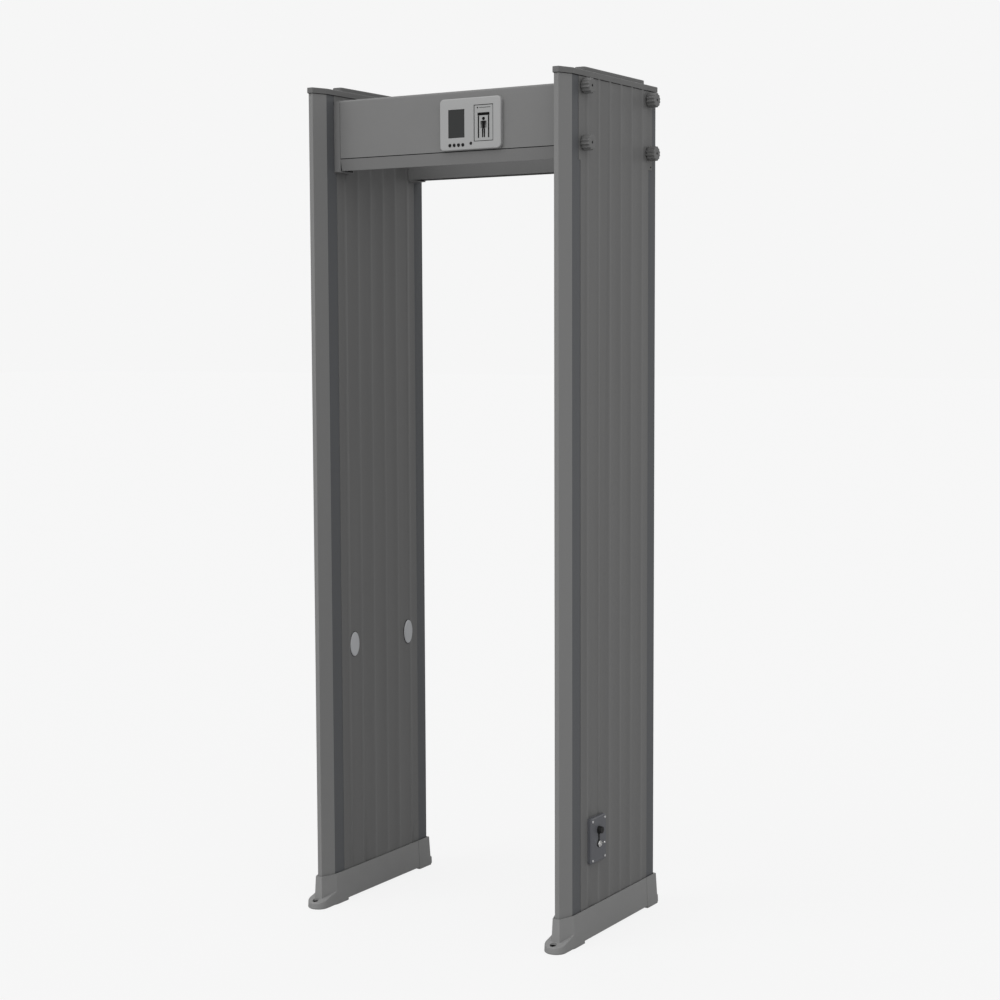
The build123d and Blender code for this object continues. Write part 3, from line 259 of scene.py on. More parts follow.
# %% The finishes of this gate
FINISHES = {
    "column_grey": finish("column_grey", (0.216, 0.216, 0.215), 0.52, drawn=0.06),
    "board_grey": finish("board_grey", (0.147, 0.147, 0.146), 0.46, drawn=0.04, clouds=0.09,
                         cloud_size=0.035),
    "post_dark": finish("post_dark", (0.106, 0.110, 0.116), 0.60, drawn=0.06),
    "shoe_grey": finish("shoe_grey", (0.250, 0.250, 0.249), 0.55, clouds=0.06, cloud_size=0.06),
    "cap_grey": finish("cap_grey", (0.147, 0.147, 0.146), 0.52),
    "header_grey": finish("header_grey", (0.194, 0.194, 0.193), 0.46, grain=0.18,
                          grain_size=0.0018),
    "chassis_zinc": finish("chassis_zinc", (0.52, 0.53, 0.54), 0.38, metallic=1.0, clouds=0.10),
    "knob_grey": finish("knob_grey", (0.160, 0.160, 0.159), 0.48),
    "bezel_light": finish("bezel_light", (0.380, 0.382, 0.382), 0.42, clouds=0.02),
    "screen_glass": finish("screen_glass", (0.028, 0.029, 0.029), 0.16, grain=0.0, gloss=0.4),
    "zone_glass": finish("zone_glass", (0.370, 0.374, 0.373), 0.35, clouds=0.02),
    "button_black": finish("button_black", (0.003, 0.003, 0.003), 0.55, gloss=0.2),
    "eye_dark": finish("eye_dark", (0.008, 0.007, 0.008), 0.10, grain=0.0, gloss=0.5),
    "sensor_pale": finish("sensor_pale", (0.50, 0.51, 0.525), 0.30, clouds=0.02),
    "circuit_green": finish("circuit_green", (0.03, 0.16, 0.07), 0.40),
    "coil_copper": finish("coil_copper", (0.72, 0.33, 0.16), 0.30, metallic=1.0),
    "former_white": finish("former_white", (0.75, 0.74, 0.70), 0.60),
    "bush_steel": finish("bush_steel", (0.50, 0.50, 0.50), 0.35, metallic=1.0),
    "inlet_dark": finish("inlet_dark", (0.116, 0.119, 0.131), 0.45),
    "socket_black": finish("socket_black", (0.010, 0.010, 0.010), 0.45),
    "strap_rubber": finish("strap_rubber", (0.012, 0.012, 0.012), 0.60),
    "switch_chrome": finish("switch_chrome", (0.92, 0.92, 0.91), 0.34, metallic=1.0, clouds=0.02),
    "screw_steel": finish("screw_steel", (0.70, 0.70, 0.70), 0.28, metallic=1.0, clouds=0.05),
    "power_case": finish("power_case", (0.60, 0.61, 0.62), 0.40, metallic=1.0),
    "buzzer_black": finish("buzzer_black", (0.015, 0.015, 0.015), 0.50),
    "shadow_rubber": finish("shadow_rubber", (0.004, 0.004, 0.004), 0.80, gloss=0.15),
    "print_ink": finish("print_ink", (0.002, 0.002, 0.002), 0.75, grain=0.05, gloss=0.15),
    "dark_screw": finish("dark_screw", (0.045, 0.045, 0.047), 0.40, metallic=1.0, clouds=0.08),
}
print("finishes:", len(FINISHES))

# %% [markdown]
# ## Painted highlights on the rib crests
# A rounded rib catches more light on its crest than the flat beside it, so each crest is painted
# a little lighter as a highlight. The ribs stand at an even pitch along Y, three on each side of
# the board's middle, so the painted highlight is worked out from the place on the board alone:
# a zigzag over Y peaks at every crest, and a soft ramp on it lightens the cloudy colour.

# %% Painted highlights on the rib crests of the boards
RIB_PITCH = 60.0 * MM
RIB_WIDTH = 16.0 * MM
# The gain paints a highlight on each rib crest, in place of the light that a rounded crest catches.
CREST_HIGHLIGHT_GAIN = 1.16                # how much lighter a crest is than the flat
WHOLE_PITCHES = 10               # added so that the zigzag starts well before the panel
RIB_MIDDLE = (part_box("right_front_post")[1][1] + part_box("right_rear_post")[0][1]) / 2
board_tree = FINISHES["board_grey"].node_tree
add = new_nodes(board_tree)
join = board_tree.links.new
shader = board_tree.nodes["Principled BSDF"]
plain = shader.inputs["Base Color"].links[0].from_socket
place = add("ShaderNodeTexCoord")
apart = add("ShaderNodeSeparateXYZ")
join(place.outputs["Object"], apart.inputs[0])
aside = add("ShaderNodeMath", operation="ADD")
join(apart.outputs["Y"], aside.inputs[0])
aside.inputs[1].default_value = -RIB_MIDDLE + WHOLE_PITCHES * RIB_PITCH
nearest = add("ShaderNodeMath", operation="PINGPONG")
join(aside.outputs[0], nearest.inputs[0])
nearest.inputs[1].default_value = RIB_PITCH / 2
crest_highlight_mask = add("ShaderNodeMapRange", interpolation_type="SMOOTHSTEP")
join(nearest.outputs[0], crest_highlight_mask.inputs["Value"])
crest_highlight_mask.inputs["From Min"].default_value = RIB_PITCH / 2 - RIB_WIDTH / 2
crest_highlight_mask.inputs["From Max"].default_value = RIB_PITCH / 2
highlight_gain = add("ShaderNodeMapRange")
join(crest_highlight_mask.outputs["Result"], highlight_gain.inputs["Value"])
highlight_gain.inputs["To Min"].default_value = 1.0
highlight_gain.inputs["To Max"].default_value = CREST_HIGHLIGHT_GAIN
# Scaling the cloudy colour by the gain paints the crest highlight into the base colour.
lighter = add("ShaderNodeVectorMath", operation="SCALE")
join(plain, lighter.inputs[0])
join(highlight_gain.outputs["Result"], lighter.inputs["Scale"])
join(lighter.outputs[0], shader.inputs["Base Color"])
print("ribs stand evenly about y =", round(RIB_MIDDLE, 4))

# %% Painting the measured parts
slot_of = {}
for subpart in frame["record"]["subparts"]:
    slot_of[subpart["node"]] = subpart.get("material_slot")
print("slots named:", len(set(slot_of.values())))
for name, node in NODES.items():
    painted = FINISHES[slot_of[name]]
    node.data.materials.clear()
    node.data.materials.append(painted)

# %% [markdown]
# ## Bodies and pieces
# Every piece rides on one body of the gate: the fixed gate itself, one of the eight knobs, a push
# button or the switch lever. A finished mesh is handed over with its body, its finish and, if it
# stands for a measured node, that node's name. One helper does this for all of them.

# %% Handing a piece to its body
body_of = {}
for body, names in frame["record"]["behaviour"]["bodies"].items():
    for name in names:
        body_of[name] = body


def hand_over(name, mesh, body, slot, *stands_for, painted=None):
    """Makes an object of a mesh, paints it, and lets it ride on a body."""
    mesh.materials.clear()
    mesh.materials.append(FINISHES[painted or slot])
    piece = bpy.data.objects.new(name, mesh)
    bpy.context.scene.collection.objects.link(piece)
    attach(piece, body)
    if stands_for:
        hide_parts(*stands_for)
    return piece


def settled(raw, name):
    """The plain mesh that an object's modifiers give; the object itself goes."""
    graph = bpy.context.evaluated_depsgraph_get()
    mesh = bpy.data.meshes.new_from_object(raw.evaluated_get(graph), depsgraph=graph)
    mesh.name = name
    bpy.data.objects.remove(raw)
    return mesh


def sealed(shell, name):
    """Turns a closed bmesh into a plain mesh with outward faces."""
    bmesh.ops.recalc_face_normals(shell, faces=shell.faces)
    mesh = bpy.data.meshes.new(name)
    shell.to_mesh(mesh)
    shell.free()
    return mesh


def bridge(shell, near, far):
    """Quads between two loops of vertices that have the same count."""
    for step in range(len(near)):
        after = (step + 1) % len(near)
        shell.faces.new((near[step], near[after], far[after], far[step]))


def smooth_shaded(mesh, sharp):
    """Smooth faces, with a hard edge wherever two of them meet at more than the sharp angle."""
    for face in mesh.polygons:
        face.use_smooth = True
    mesh.set_sharp_from_angle(angle=sharp)


print("bodies:", len(set(body_of.values())))

# %% [markdown]
# ## Edges that catch the light
# No moulding or folded sheet has a perfectly sharp edge: each carries a small round that draws a
# fine bright line. The measured solids are sharp where their round is too small to matter for
# size, so each visible one is copied, its loose triangles are merged, and a Bevel modifier with
# hardened normals rounds its edges by a few tenths of a millimetre. A bevel only takes material
# away, so the copy stays inside the measured box.

# %% Rounded copies of the measured parts
EDGE_ROUND = {
    # finish slot: radius of the edge in millimetres
    "column_grey": 0.6,
    "post_dark": 0.5,
    "board_grey": 0.35,
    "shoe_grey": 0.9,
    "cap_grey": 0.5,
    "header_grey": 0.5,
    "bezel_light": 0.3,
    "inlet_dark": 0.3,
    "button_black": 0.15,
    "eye_dark": 0.1,
    "sensor_pale": 0.15,
    "switch_chrome": 0.12,
    "strap_rubber": 0.2,
}
SHARP = radians(28)              # two faces that meet at more than this make an edge
MERGE_WITHIN = 2e-6              # vertices closer than this are one
FLAT_WITHIN = radians(0.4)       # faces that meet at less than this are one
ROUND_SEGMENTS = 2


def rounded_copy(node, radius):
    """A merged copy of a measured part with small rounds along its edges."""
    shell = bmesh.new()
    shell.from_mesh(NODES[node].data)
    bmesh.ops.remove_doubles(shell, verts=shell.verts, dist=MERGE_WITHIN)
    bmesh.ops.dissolve_limit(shell, angle_limit=FLAT_WITHIN, verts=shell.verts, edges=shell.edges)
    mesh = bpy.data.meshes.new(node + "_shell")
    shell.to_mesh(mesh)
    shell.free()
    smooth_shaded(mesh, SHARP)
    raw = bpy.data.objects.new(node + "_raw", mesh)
    bpy.context.scene.collection.objects.link(raw)
    rounding = raw.modifiers.new("edge_round", "BEVEL")
    rounding.width = radius * MM
    rounding.segments = ROUND_SEGMENTS
    rounding.limit_method = "ANGLE"
    rounding.angle_limit = SHARP
    rounding.use_clamp_overlap = True
    rounding.harden_normals = True
    return settled(raw, node + "_rounded")


rounded = 0
for node, slot in slot_of.items():
    if slot in EDGE_ROUND:
        mesh = rounded_copy(node, EDGE_ROUND[slot])
        hand_over(node + "_finished", mesh, body_of[node], slot, node)
        rounded += 1
print("rounded copies:", rounded)

# %% [markdown]
# ## Thin rings and plates
# A display reads as one only through its fine lines: the dark gap round each window, the ring
# round each lens, the shadow under a cap. A ring is two loops of points with the same count,
# joined to a second pair that lies a little deeper. A plate is one loop, drawn out the same way.

# %% Ring and plate helpers
def ring_mesh(name, outer, inner, depth):
    """A closed ring between two loops of points, drawn out along a depth vector."""
    band = bmesh.new()
    loops = []
    for loop, shift in ((outer, Vector()), (inner, Vector()), (inner, depth), (outer, depth)):
        loops.append([band.verts.new(Vector(point) + shift) for point in loop])
    for near, far in zip(loops, loops[1:] + loops[:1]):
        bridge(band, near, far)
    return sealed(band, name)


def plates_mesh(name, loops, depth):
    """Flat plates, one for each loop of points, drawn out along a depth vector."""
    plates = bmesh.new()
    for loop in loops:
        front = [plates.verts.new(Vector(point)) for point in loop]
        back = [plates.verts.new(Vector(point) + depth) for point in loop]
        plates.faces.new(front)
        plates.faces.new(list(reversed(back)))
        bridge(plates, front, back)
    return sealed(plates, name)


def rounded_box_loop(x, z, width, height, corner, y, steps=6):
    """Points of an upright rectangle with round corners, facing along Y."""
    loop = []
    for turn, side_x, side_z in ((0, 1, 1), (90, -1, 1), (180, -1, -1), (270, 1, -1)):
        for step in range(steps + 1):
            angle = radians(turn + 90 * step / steps)
            loop.append((x + side_x * (width / 2 - corner) + corner * cos(angle), y,
                         z + side_z * (height / 2 - corner) + corner * sin(angle)))
    return loop


def disc_loop(x, z, radius, y, steps):
    """Points of a circle that faces along Y."""
    return [(x + radius * cos(2 * pi * step / steps), y, z + radius * sin(2 * pi * step / steps))
            for step in range(steps)]


def ellipse_loop(x, y, z, half_y, half_z, steps=64):
    """Points of an ellipse that faces along X."""
    return [(x, y + half_y * cos(2 * pi * step / steps), z + half_z * sin(2 * pi * step / steps))
            for step in range(steps)]


def flat_circle(x, y, z, radius, steps=40):
    """Points of a circle that faces along Z."""
    return [(x + radius * cos(2 * pi * step / steps), y + radius * sin(2 * pi * step / steps), z)
            for step in range(steps)]


def middle_of(low, high, axis):
    """The middle of a box along one axis."""
    return (low[axis] + high[axis]) / 2


print("ring and plate helpers ready")

# %% [markdown]
# ## Clamp knobs
# Eight hand knobs pull the beams against the panels. A knob is a body of revolution whose rim is
# scalloped for the fingers, so its whole surface follows one rule: a grid whose first direction
# runs round the knob and whose second runs from the seat over the rim to the bored eye. A Geometry
# Nodes tree bends that grid: the radius loses a rounded scallop at every flute, and the scallops
# fade out towards the face. The same tree makes all eight from their measured places.

# %% A small kit for Geometry Nodes
class Tree:
    """A geometry tree with named inputs and short ways to add nodes to it."""

    def __init__(self, name, inputs):
        self.group = bpy.data.node_groups.new(name, "GeometryNodeTree")
        new_socket = self.group.interface.new_socket
        new_socket("Geometry", in_out="INPUT", socket_type="NodeSocketGeometry")
        self.sockets = {}
        for title, kind in inputs.items():
            made = new_socket(title, in_out="INPUT", socket_type=kind)
            self.sockets[title] = made.identifier
        new_socket("Geometry", in_out="OUTPUT", socket_type="NodeSocketGeometry")
        self.entry = self.group.nodes.new("NodeGroupInput")
        self.exit = self.group.nodes.new("NodeGroupOutput")

    def wire(self, value, socket):
        """Links an output to a socket, or sets the socket to a plain number."""
        if isinstance(value, bpy.types.NodeSocket):
            self.group.links.new(value, socket)
        else:
            socket.default_value = value

    def given(self, title):
        """The value that the tree is given under this name."""
        return self.entry.outputs[title]

    def add(self, kind, inputs=(), **settings):
        """Adds a node of a kind, with its properties set and its inputs wired."""
        node = self.group.nodes.new(kind)
        for name, value in settings.items():
            setattr(node, name, value)
        for name, value in dict(inputs).items():
            self.wire(value, node.inputs[name])
        return node

    def maths(self, operation, first, second=0.0):
        """The result of one sum on two values."""
        node = self.group.nodes.new("ShaderNodeMath")
        node.operation = operation
        self.wire(first, node.inputs[0])
        self.wire(second, node.inputs[1])
        return node.outputs[0]

    def finish(self, geometry):
        """Ends the tree: real geometry instead of instances, painted with the given material."""
        real = self.add("GeometryNodeRealizeInstances", {"Geometry": geometry})
        painted = self.add("GeometryNodeSetMaterial",
                           {"Geometry": real.outputs[0], "Material": self.given("Material")})
        self.wire(painted.outputs[0], self.exit.inputs[0])

    def grow(self, name, values, seed_mesh=None):
        """Runs the tree once with these inputs and returns the plain mesh."""
        raw = bpy.data.objects.new(name + "_raw", seed_mesh or bpy.data.meshes.new(name + "_seed"))
        bpy.context.scene.collection.objects.link(raw)
        made = raw.modifiers.new("grown", "NODES")
        made.node_group = self.group
        for title, value in values.items():
            made[self.sockets[title]] = value
        return settled(raw, name)


print("geometry tree kit ready")

# %% The knob tree
FLUTES = 12
ROUND_STEPS = FLUTES * 16        # grid lines round the knob
SCALLOP_POWER = 0.8              # below 1 a scallop is broader than the land beside it
PROFILE = [
    # share of the radius, share of the length, how much of the scallop shows
    (0.00, 0.00, 0.0), (0.60, 0.00, 0.0), (0.93, 0.00, 1.0), (0.975, 0.015, 1.0),
    (1.00, 0.055, 1.0), (1.00, 0.30, 1.0), (1.00, 0.60, 1.0), (1.00, 0.86, 1.0),
    (0.992, 0.92, 1.0), (0.965, 0.97, 1.0), (0.92, 0.995, 0.9), (0.84, 1.00, 0.55),
    (0.72, 1.00, 0.15), (0.50, 1.00, 0.0), (0.22, 1.00, 0.0), (0.175, 0.985, 0.0),
    (0.170, 0.90, 0.0), (0.165, 0.72, 0.0), (0.00, 0.72, 0.0),
]
knob_tree = Tree("knob_tree", {
    "Radius": "NodeSocketFloat", "Length": "NodeSocketFloat", "Flute Depth": "NodeSocketFloat",
    "Flutes": "NodeSocketInt", "Material": "NodeSocketMaterial",
})
grid = knob_tree.add("GeometryNodeMeshGrid", {
    "Size X": 1.0, "Size Y": 1.0, "Vertices X": ROUND_STEPS + 1, "Vertices Y": len(PROFILE)})
where = knob_tree.add("GeometryNodeInputPosition")
apart = knob_tree.add("ShaderNodeSeparateXYZ", {"Vector": where.outputs[0]})
turn = knob_tree.maths("MULTIPLY", knob_tree.maths("ADD", apart.outputs["X"], 0.5), 2 * pi)
row = knob_tree.maths("ADD", apart.outputs["Y"], 0.5)
step = 1 / (len(PROFILE) - 1)
shares = []
for column in range(3):
    total = None
    for number, station in enumerate(PROFILE[:-1]):
        rise = PROFILE[number + 1][column] - station[column]
        if rise == 0:
            continue
        into = knob_tree.maths("DIVIDE", knob_tree.maths("SUBTRACT", row, number * step), step)
        clamped = knob_tree.add("ShaderNodeClamp", {"Value": into}).outputs[0]
        part = knob_tree.maths("MULTIPLY", clamped, rise)
        total = part if total is None else knob_tree.maths("ADD", total, part)
    shares.append(knob_tree.maths("ADD", total, PROFILE[0][column]))
wave = knob_tree.maths("COSINE", knob_tree.maths("MULTIPLY", turn, knob_tree.given("Flutes")))
hollow = knob_tree.maths("POWER", knob_tree.maths("MULTIPLY",
                         knob_tree.maths("ADD", wave, 1.0), 0.5), SCALLOP_POWER)
lost = knob_tree.maths("MULTIPLY", knob_tree.maths("MULTIPLY", hollow, shares[2]),
                       knob_tree.given("Flute Depth"))
full = knob_tree.maths("MULTIPLY", shares[0], knob_tree.given("Radius"))
radius = knob_tree.maths("SUBTRACT", full, lost)
along = knob_tree.maths("MULTIPLY", shares[1], knob_tree.given("Length"))
spot = knob_tree.add("ShaderNodeCombineXYZ", {
    "X": along,
    "Y": knob_tree.maths("MULTIPLY", radius, knob_tree.maths("COSINE", turn)),
    "Z": knob_tree.maths("MULTIPLY", radius, knob_tree.maths("SINE", turn)),
})
bent = knob_tree.add("GeometryNodeSetPosition",
                     {"Geometry": grid.outputs["Mesh"], "Position": spot.outputs[0]})
closed = knob_tree.add("GeometryNodeMergeByDistance",
                       {"Geometry": bent.outputs[0], "Distance": MERGE_WITHIN})
knob_tree.finish(closed.outputs[0])
print("knob tree:", len(knob_tree.group.nodes), "nodes")

# %% Eight knobs in their places
KNOB_RADIUS = 19.6 * MM
KNOB_LENGTH = 23.9 * MM
FLUTE_DEPTH = 2.9 * MM
SEAT_DEPTH = 24.0 * MM           # from the knob's outer face to its seat
STUD_OVERLAP = 1.0 * MM          # how far the stud starts inside the knob
STUD_RADIUS = 3.98 * MM
THREAD_PITCH = 1.5 * MM
THREAD_ROOT = 0.93               # radius between the threads as a share of the stud's
# A black disc in the mouth of each knob's bore paints the shade inside the bored eye; these numbers
# place it.
EYE_AT = 0.93                    # the dark eye lies this share of the length from the seat ...
EYE_FORWARD = 1.0 * MM           # ... and this much farther out
EYE_RADIUS = 3.2 * MM
EYE_THICKNESS = 1.6 * MM
EYE_STEPS = 24
KNOB_SHARP = radians(40)


def placed(mesh, origin, mirrored):
    """Moves a mesh to its place, mirrored in X if it belongs on the left, with outward faces."""
    side = -1.0 if mirrored else 1.0
    mesh.transform(Matrix.Translation(origin) @ Matrix.Diagonal((side, 1.0, 1.0, 1.0)))
    shell = bmesh.new()
    shell.from_mesh(mesh)
    bmesh.ops.recalc_face_normals(shell, faces=shell.faces)
    shell.to_mesh(mesh)
    shell.free()
    smooth_shaded(mesh, KNOB_SHARP)
    return mesh


def stud_mesh(outer_x, inner_x, y, z, radius, steps=24):
    """The threaded stud behind a knob: a closed rod along X with a fine thread."""
    turns = int(abs(outer_x - inner_x) / THREAD_PITCH)
    rod = bmesh.new()
    rings = []
    for ring in range(2 * turns + 1):
        x = outer_x + (inner_x - outer_x) * ring / (2 * turns)
        reach = radius * (1.0 if ring % 2 else THREAD_ROOT)
        circle = []
        for step in range(steps):
            angle = 2 * pi * step / steps
            circle.append(rod.verts.new((x, y + reach * cos(angle), z + reach * sin(angle))))
        rings.append(circle)
    for near, far in zip(rings, rings[1:]):
        bridge(rod, near, far)
    rod.faces.new(rings[0])
    rod.faces.new(rings[-1])
    return sealed(rod, "stud")


for node, slot in slot_of.items():
    if slot != "knob_grey":
        continue
    low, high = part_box(node)
    left = low[0] < -high[0]
    outer_x = low[0] if left else high[0]
    inner_x = high[0] if left else low[0]
    inward = 1.0 if left else -1.0
    y, z = middle_of(low, high, 1), middle_of(low, high, 2)
    seat_x = outer_x + inward * SEAT_DEPTH
    grown = knob_tree.grow(node + "_grip", {
        "Radius": KNOB_RADIUS, "Length": KNOB_LENGTH, "Flute Depth": FLUTE_DEPTH,
        "Flutes": FLUTES, "Material": FINISHES["knob_grey"]})
    grip = placed(grown, Vector((seat_x, y, z)), left)
    hand_over(node + "_grip", grip, body_of[node], slot, node)
    stud = stud_mesh(seat_x - inward * STUD_OVERLAP, inner_x, y, z, STUD_RADIUS)
    hand_over(node + "_stud", stud, body_of[node], "bush_steel", node)
    # The black disc set in the bore paints the eye's shade.
    eye_x = seat_x - inward * EYE_AT * KNOB_LENGTH - inward * EYE_FORWARD
    eye = ellipse_loop(eye_x, y, z, EYE_RADIUS, EYE_RADIUS, EYE_STEPS)
    eye_shade_disc = plates_mesh(node + "_eye", [eye], Vector((inward * EYE_THICKNESS, 0, 0)))
    hand_over(node + "_eye", eye_shade_disc, body_of[node], "knob_grey", node, painted="shadow_rubber")
print("knobs:", list(slot_of.values()).count("knob_grey"), "with", FLUTES, "flutes each")

# %% [markdown]
# ## Screws
# The inlet plate is held by four bright screws, and each ribbed board by a dark one at the lower
# corner of its tab. They are the same shape at different places, so one modelled head with a
# cross recess is instanced by a Geometry Nodes tree on the points where a screw sits.

# %% One screw head
CROSS_ARM = radians(17)          # half the angle that an arm of the recess takes up
PIT_HEIGHT = 0.20                # the lowest point of the recess
HEAD_RINGS = [
    # height, reach along the arms of the cross, reach between them
    (0.0, 0.93, 0.93), (0.06, 1.0, 1.0), (0.20, 1.0, 1.0), (0.36, 0.95, 0.95),
    (0.48, 0.82, 0.82), (0.545, 0.66, 0.66), (0.55, 0.60, 0.16), (0.22, 0.42, 0.12),
]


def screw_head(steps=48):
    """A pan head of radius 1 and height 0.55 along +X, with a cross recess, as a closed mesh."""
    head = bmesh.new()
    circles = []
    for height, wide, narrow in HEAD_RINGS:
        circle = []
        for step in range(steps):
            angle = 2 * pi * step / steps
            off_arm = abs((angle + pi / 4) % (pi / 2) - pi / 4)
            reach = wide if off_arm < CROSS_ARM else narrow
            circle.append(head.verts.new((height, reach * cos(angle), reach * sin(angle))))
        circles.append(circle)
    for near, far in zip(circles, circles[1:]):
        bridge(head, near, far)
    head.faces.new(circles[0])
    pit = head.verts.new((PIT_HEIGHT, 0.0, 0.0))
    for step in range(steps):
        head.faces.new((circles[-1][step], circles[-1][(step + 1) % steps], pit))
    return sealed(head, "screw_head")


model_head = bpy.data.objects.new("screw_head_model", screw_head())
print("screw head:", len(model_head.data.polygons), "faces")

# %% The tree that sets screws on points
screw_tree = Tree("screw_tree", {
    "Head": "NodeSocketObject", "Head Radius": "NodeSocketFloat", "Turn": "NodeSocketVector",
    "Seed": "NodeSocketInt", "Material": "NodeSocketMaterial",
})
head_info = screw_tree.add("GeometryNodeObjectInfo", {"Object": screw_tree.given("Head")})
twist = screw_tree.add("FunctionNodeRandomValue", {"Seed": screw_tree.given("Seed")},
                       data_type="FLOAT")
twist.inputs[2].default_value = 0.0
twist.inputs[3].default_value = pi / 2
own_turn = screw_tree.add("ShaderNodeCombineXYZ", {"X": twist.outputs[1]})
both_turns = screw_tree.add("ShaderNodeVectorMath", operation="ADD")
screw_tree.wire(screw_tree.given("Turn"), both_turns.inputs[0])
screw_tree.wire(own_turn.outputs[0], both_turns.inputs[1])
spread_out = screw_tree.add("GeometryNodeInstanceOnPoints", {
    "Points": screw_tree.given("Geometry"), "Instance": head_info.outputs["Geometry"],
    "Rotation": both_turns.outputs[0], "Scale": screw_tree.given("Head Radius")})
screw_tree.finish(spread_out.outputs[0])
SCREW_SHARP = radians(35)


def screw_row(name, places, radius, turn, slot, painted, seed, *stands_for):
    """Screws of one size on a list of places, as one piece of the gate."""
    points = bpy.data.meshes.new(name + "_points")
    points.from_pydata(places, [], [])
    mesh = screw_tree.grow(name, {
        "Head": model_head, "Head Radius": radius, "Turn": turn, "Seed": seed,
        "Material": FINISHES[painted]}, points)
    smooth_shaded(mesh, SCREW_SHARP)
    hand_over(name, mesh, "gate", slot, *stands_for, painted=painted)
    print(name, len(places), "screws")


# %% Screws of the inlet plate and of the board tabs
PLATE_INSET = 8.5 * MM           # from an edge of the inlet plate to a screw
PLATE_HEAD = 3.4 * MM            # radius of a head
PLATE_SEED = 3
FACING_RIGHT = (0.0, 0.0, 0.0)
FACING_LEFT = (0.0, pi, 0.0)
low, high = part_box("inlet_plate")
corners = [(high[0], y, z) for y in (low[1] + PLATE_INSET, high[1] - PLATE_INSET)
           for z in (low[2] + PLATE_INSET, high[2] - PLATE_INSET)]
screw_row("inlet_screw_heads", corners, PLATE_HEAD, FACING_RIGHT, "screw_steel", "screw_steel",
          PLATE_SEED, "inlet_screws")

CREST_RISE = 1.2 * MM            # the flat of a board lies this far below the crests of its ribs
TAB_INSET = 7.0 * MM             # from the rear edge of a board to the screw
TAB_Z = 2.0125
TAB_HEAD = 2.3 * MM
TAB_SEED = 5
for node, outward in (("left_inner_board", 1), ("left_outer_board", -1),
                      ("right_inner_board", -1), ("right_outer_board", 1)):
    low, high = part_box(node)
    face_x = (high[0] - CREST_RISE) if outward > 0 else (low[0] + CREST_RISE)
    place = (face_x, high[1] - TAB_INSET, TAB_Z)
    turn = FACING_RIGHT if outward > 0 else FACING_LEFT
    screw_row(node + "_tab_screw", [place], TAB_HEAD, turn, "bush_steel", "dark_screw", TAB_SEED)

# %% [markdown]
# ## Gaskets of the display
# Each window of the display sits in a thin black gasket. The printed window's gasket is the wider
# of the two, because it doubles as the frame of the picture.

# %% Gaskets round the two windows
GASKET_LINE = {"zone_window": 1.5 * MM, "display_screen": 0.5 * MM}
WINDOW_LEDGES = 6 * MM           # the hidden ledges on two sides of a window together
GASKET_OVERLAP = 0.1 * MM
GASKET_RISE = 0.25 * MM          # how far it stands in front of the window
GASKET_DEPTH = 0.45 * MM
OUTER_CORNER, INNER_CORNER = 1.5 * MM, 1.0 * MM
for node, line in GASKET_LINE.items():
    low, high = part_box(node)
    x, z, y = middle_of(low, high, 0), middle_of(low, high, 2), low[1] - GASKET_RISE
    wide, tall = high[0] - low[0] - WINDOW_LEDGES, high[2] - low[2] - WINDOW_LEDGES
    outer = rounded_box_loop(x, z, wide + GASKET_OVERLAP, tall + GASKET_OVERLAP, OUTER_CORNER, y)
    inner = rounded_box_loop(x, z, wide - 2 * line, tall - 2 * line, INNER_CORNER, y)
    gasket = ring_mesh(node + "_gasket", outer, inner, Vector((0, GASKET_DEPTH, 0)))
    hand_over(node + "_gasket", gasket, "gate", "screen_glass", painted="shadow_rubber")
print("two window gaskets")

# %% [markdown]
# ## The pictogram of the zone window
# The pale window shows where on the body metal was found. Its print is a plain picture of a gate
# with a person in it, drawn here from simple outlines: two posts with a lintel, and a figure made
# of a disc and tapered bars. It carries no lettering and no mark of any kind.

# %% Gate and figure
low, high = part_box("zone_window")
PRINT_RISE = 0.12 * MM           # how far the ink stands in front of the window
PRINT_DEPTH = 0.2 * MM
ZONE_X, ZONE_Z, INK_Y = middle_of(low, high, 0), middle_of(low, high, 2), low[1] - PRINT_RISE


def bar(x_low, x_high, z_low, z_high, waist=0.0):
    """An upright bar on the zone window, in millimetres from its middle, tapered at its foot."""
    points = [(x_low + waist, z_low), (x_high - waist, z_low), (x_high, z_high), (x_low, z_high)]
    return [(ZONE_X + x * MM, INK_Y, ZONE_Z + z * MM) for x, z in points]


def dot(x, z, radius, steps):
    """A disc on the zone window, in millimetres from its middle."""
    return disc_loop(ZONE_X + x * MM, ZONE_Z + z * MM, radius * MM, INK_Y, steps)


figure = [
    bar(-17.2, -13.4, -38.0, 18.0), bar(13.4, 17.2, -38.0, 18.0),      # posts
    bar(-18.0, 18.0, 18.6, 26.0),                                      # lintel
    bar(-5.4, 5.4, -15.0, 5.0, waist=1.0),                             # trunk
    bar(-8.8, -5.7, -13.5, 4.4, waist=0.4),                            # arms
    bar(5.7, 8.8, -13.5, 4.4, waist=0.4),
    bar(-5.0, -0.4, -37.0, -15.2, waist=0.5),                          # legs
    bar(0.4, 5.0, -37.0, -15.2, waist=0.5),
    bar(-13.0, 21.0, 38.2, 39.4),                                      # line over the picture
    dot(0.0, 10.4, 4.3, 28),                                           # head
    dot(-18.0, 38.8, 2.0, 16),                                         # spot beside the line
]
print_mesh = plates_mesh("zone_print", figure, Vector((0, PRINT_DEPTH, 0)))
hand_over("zone_print", print_mesh, "gate", "screen_glass", painted="print_ink")
print("pictogram:", len(figure), "outlines")

# %% [markdown]
# ## Lens rings
# Each infrared lens sits in the inner board behind a thin dark ring, with its light source showing
# as a small dot. The ring is an ellipse offset by a constant distance, and is built for all four.

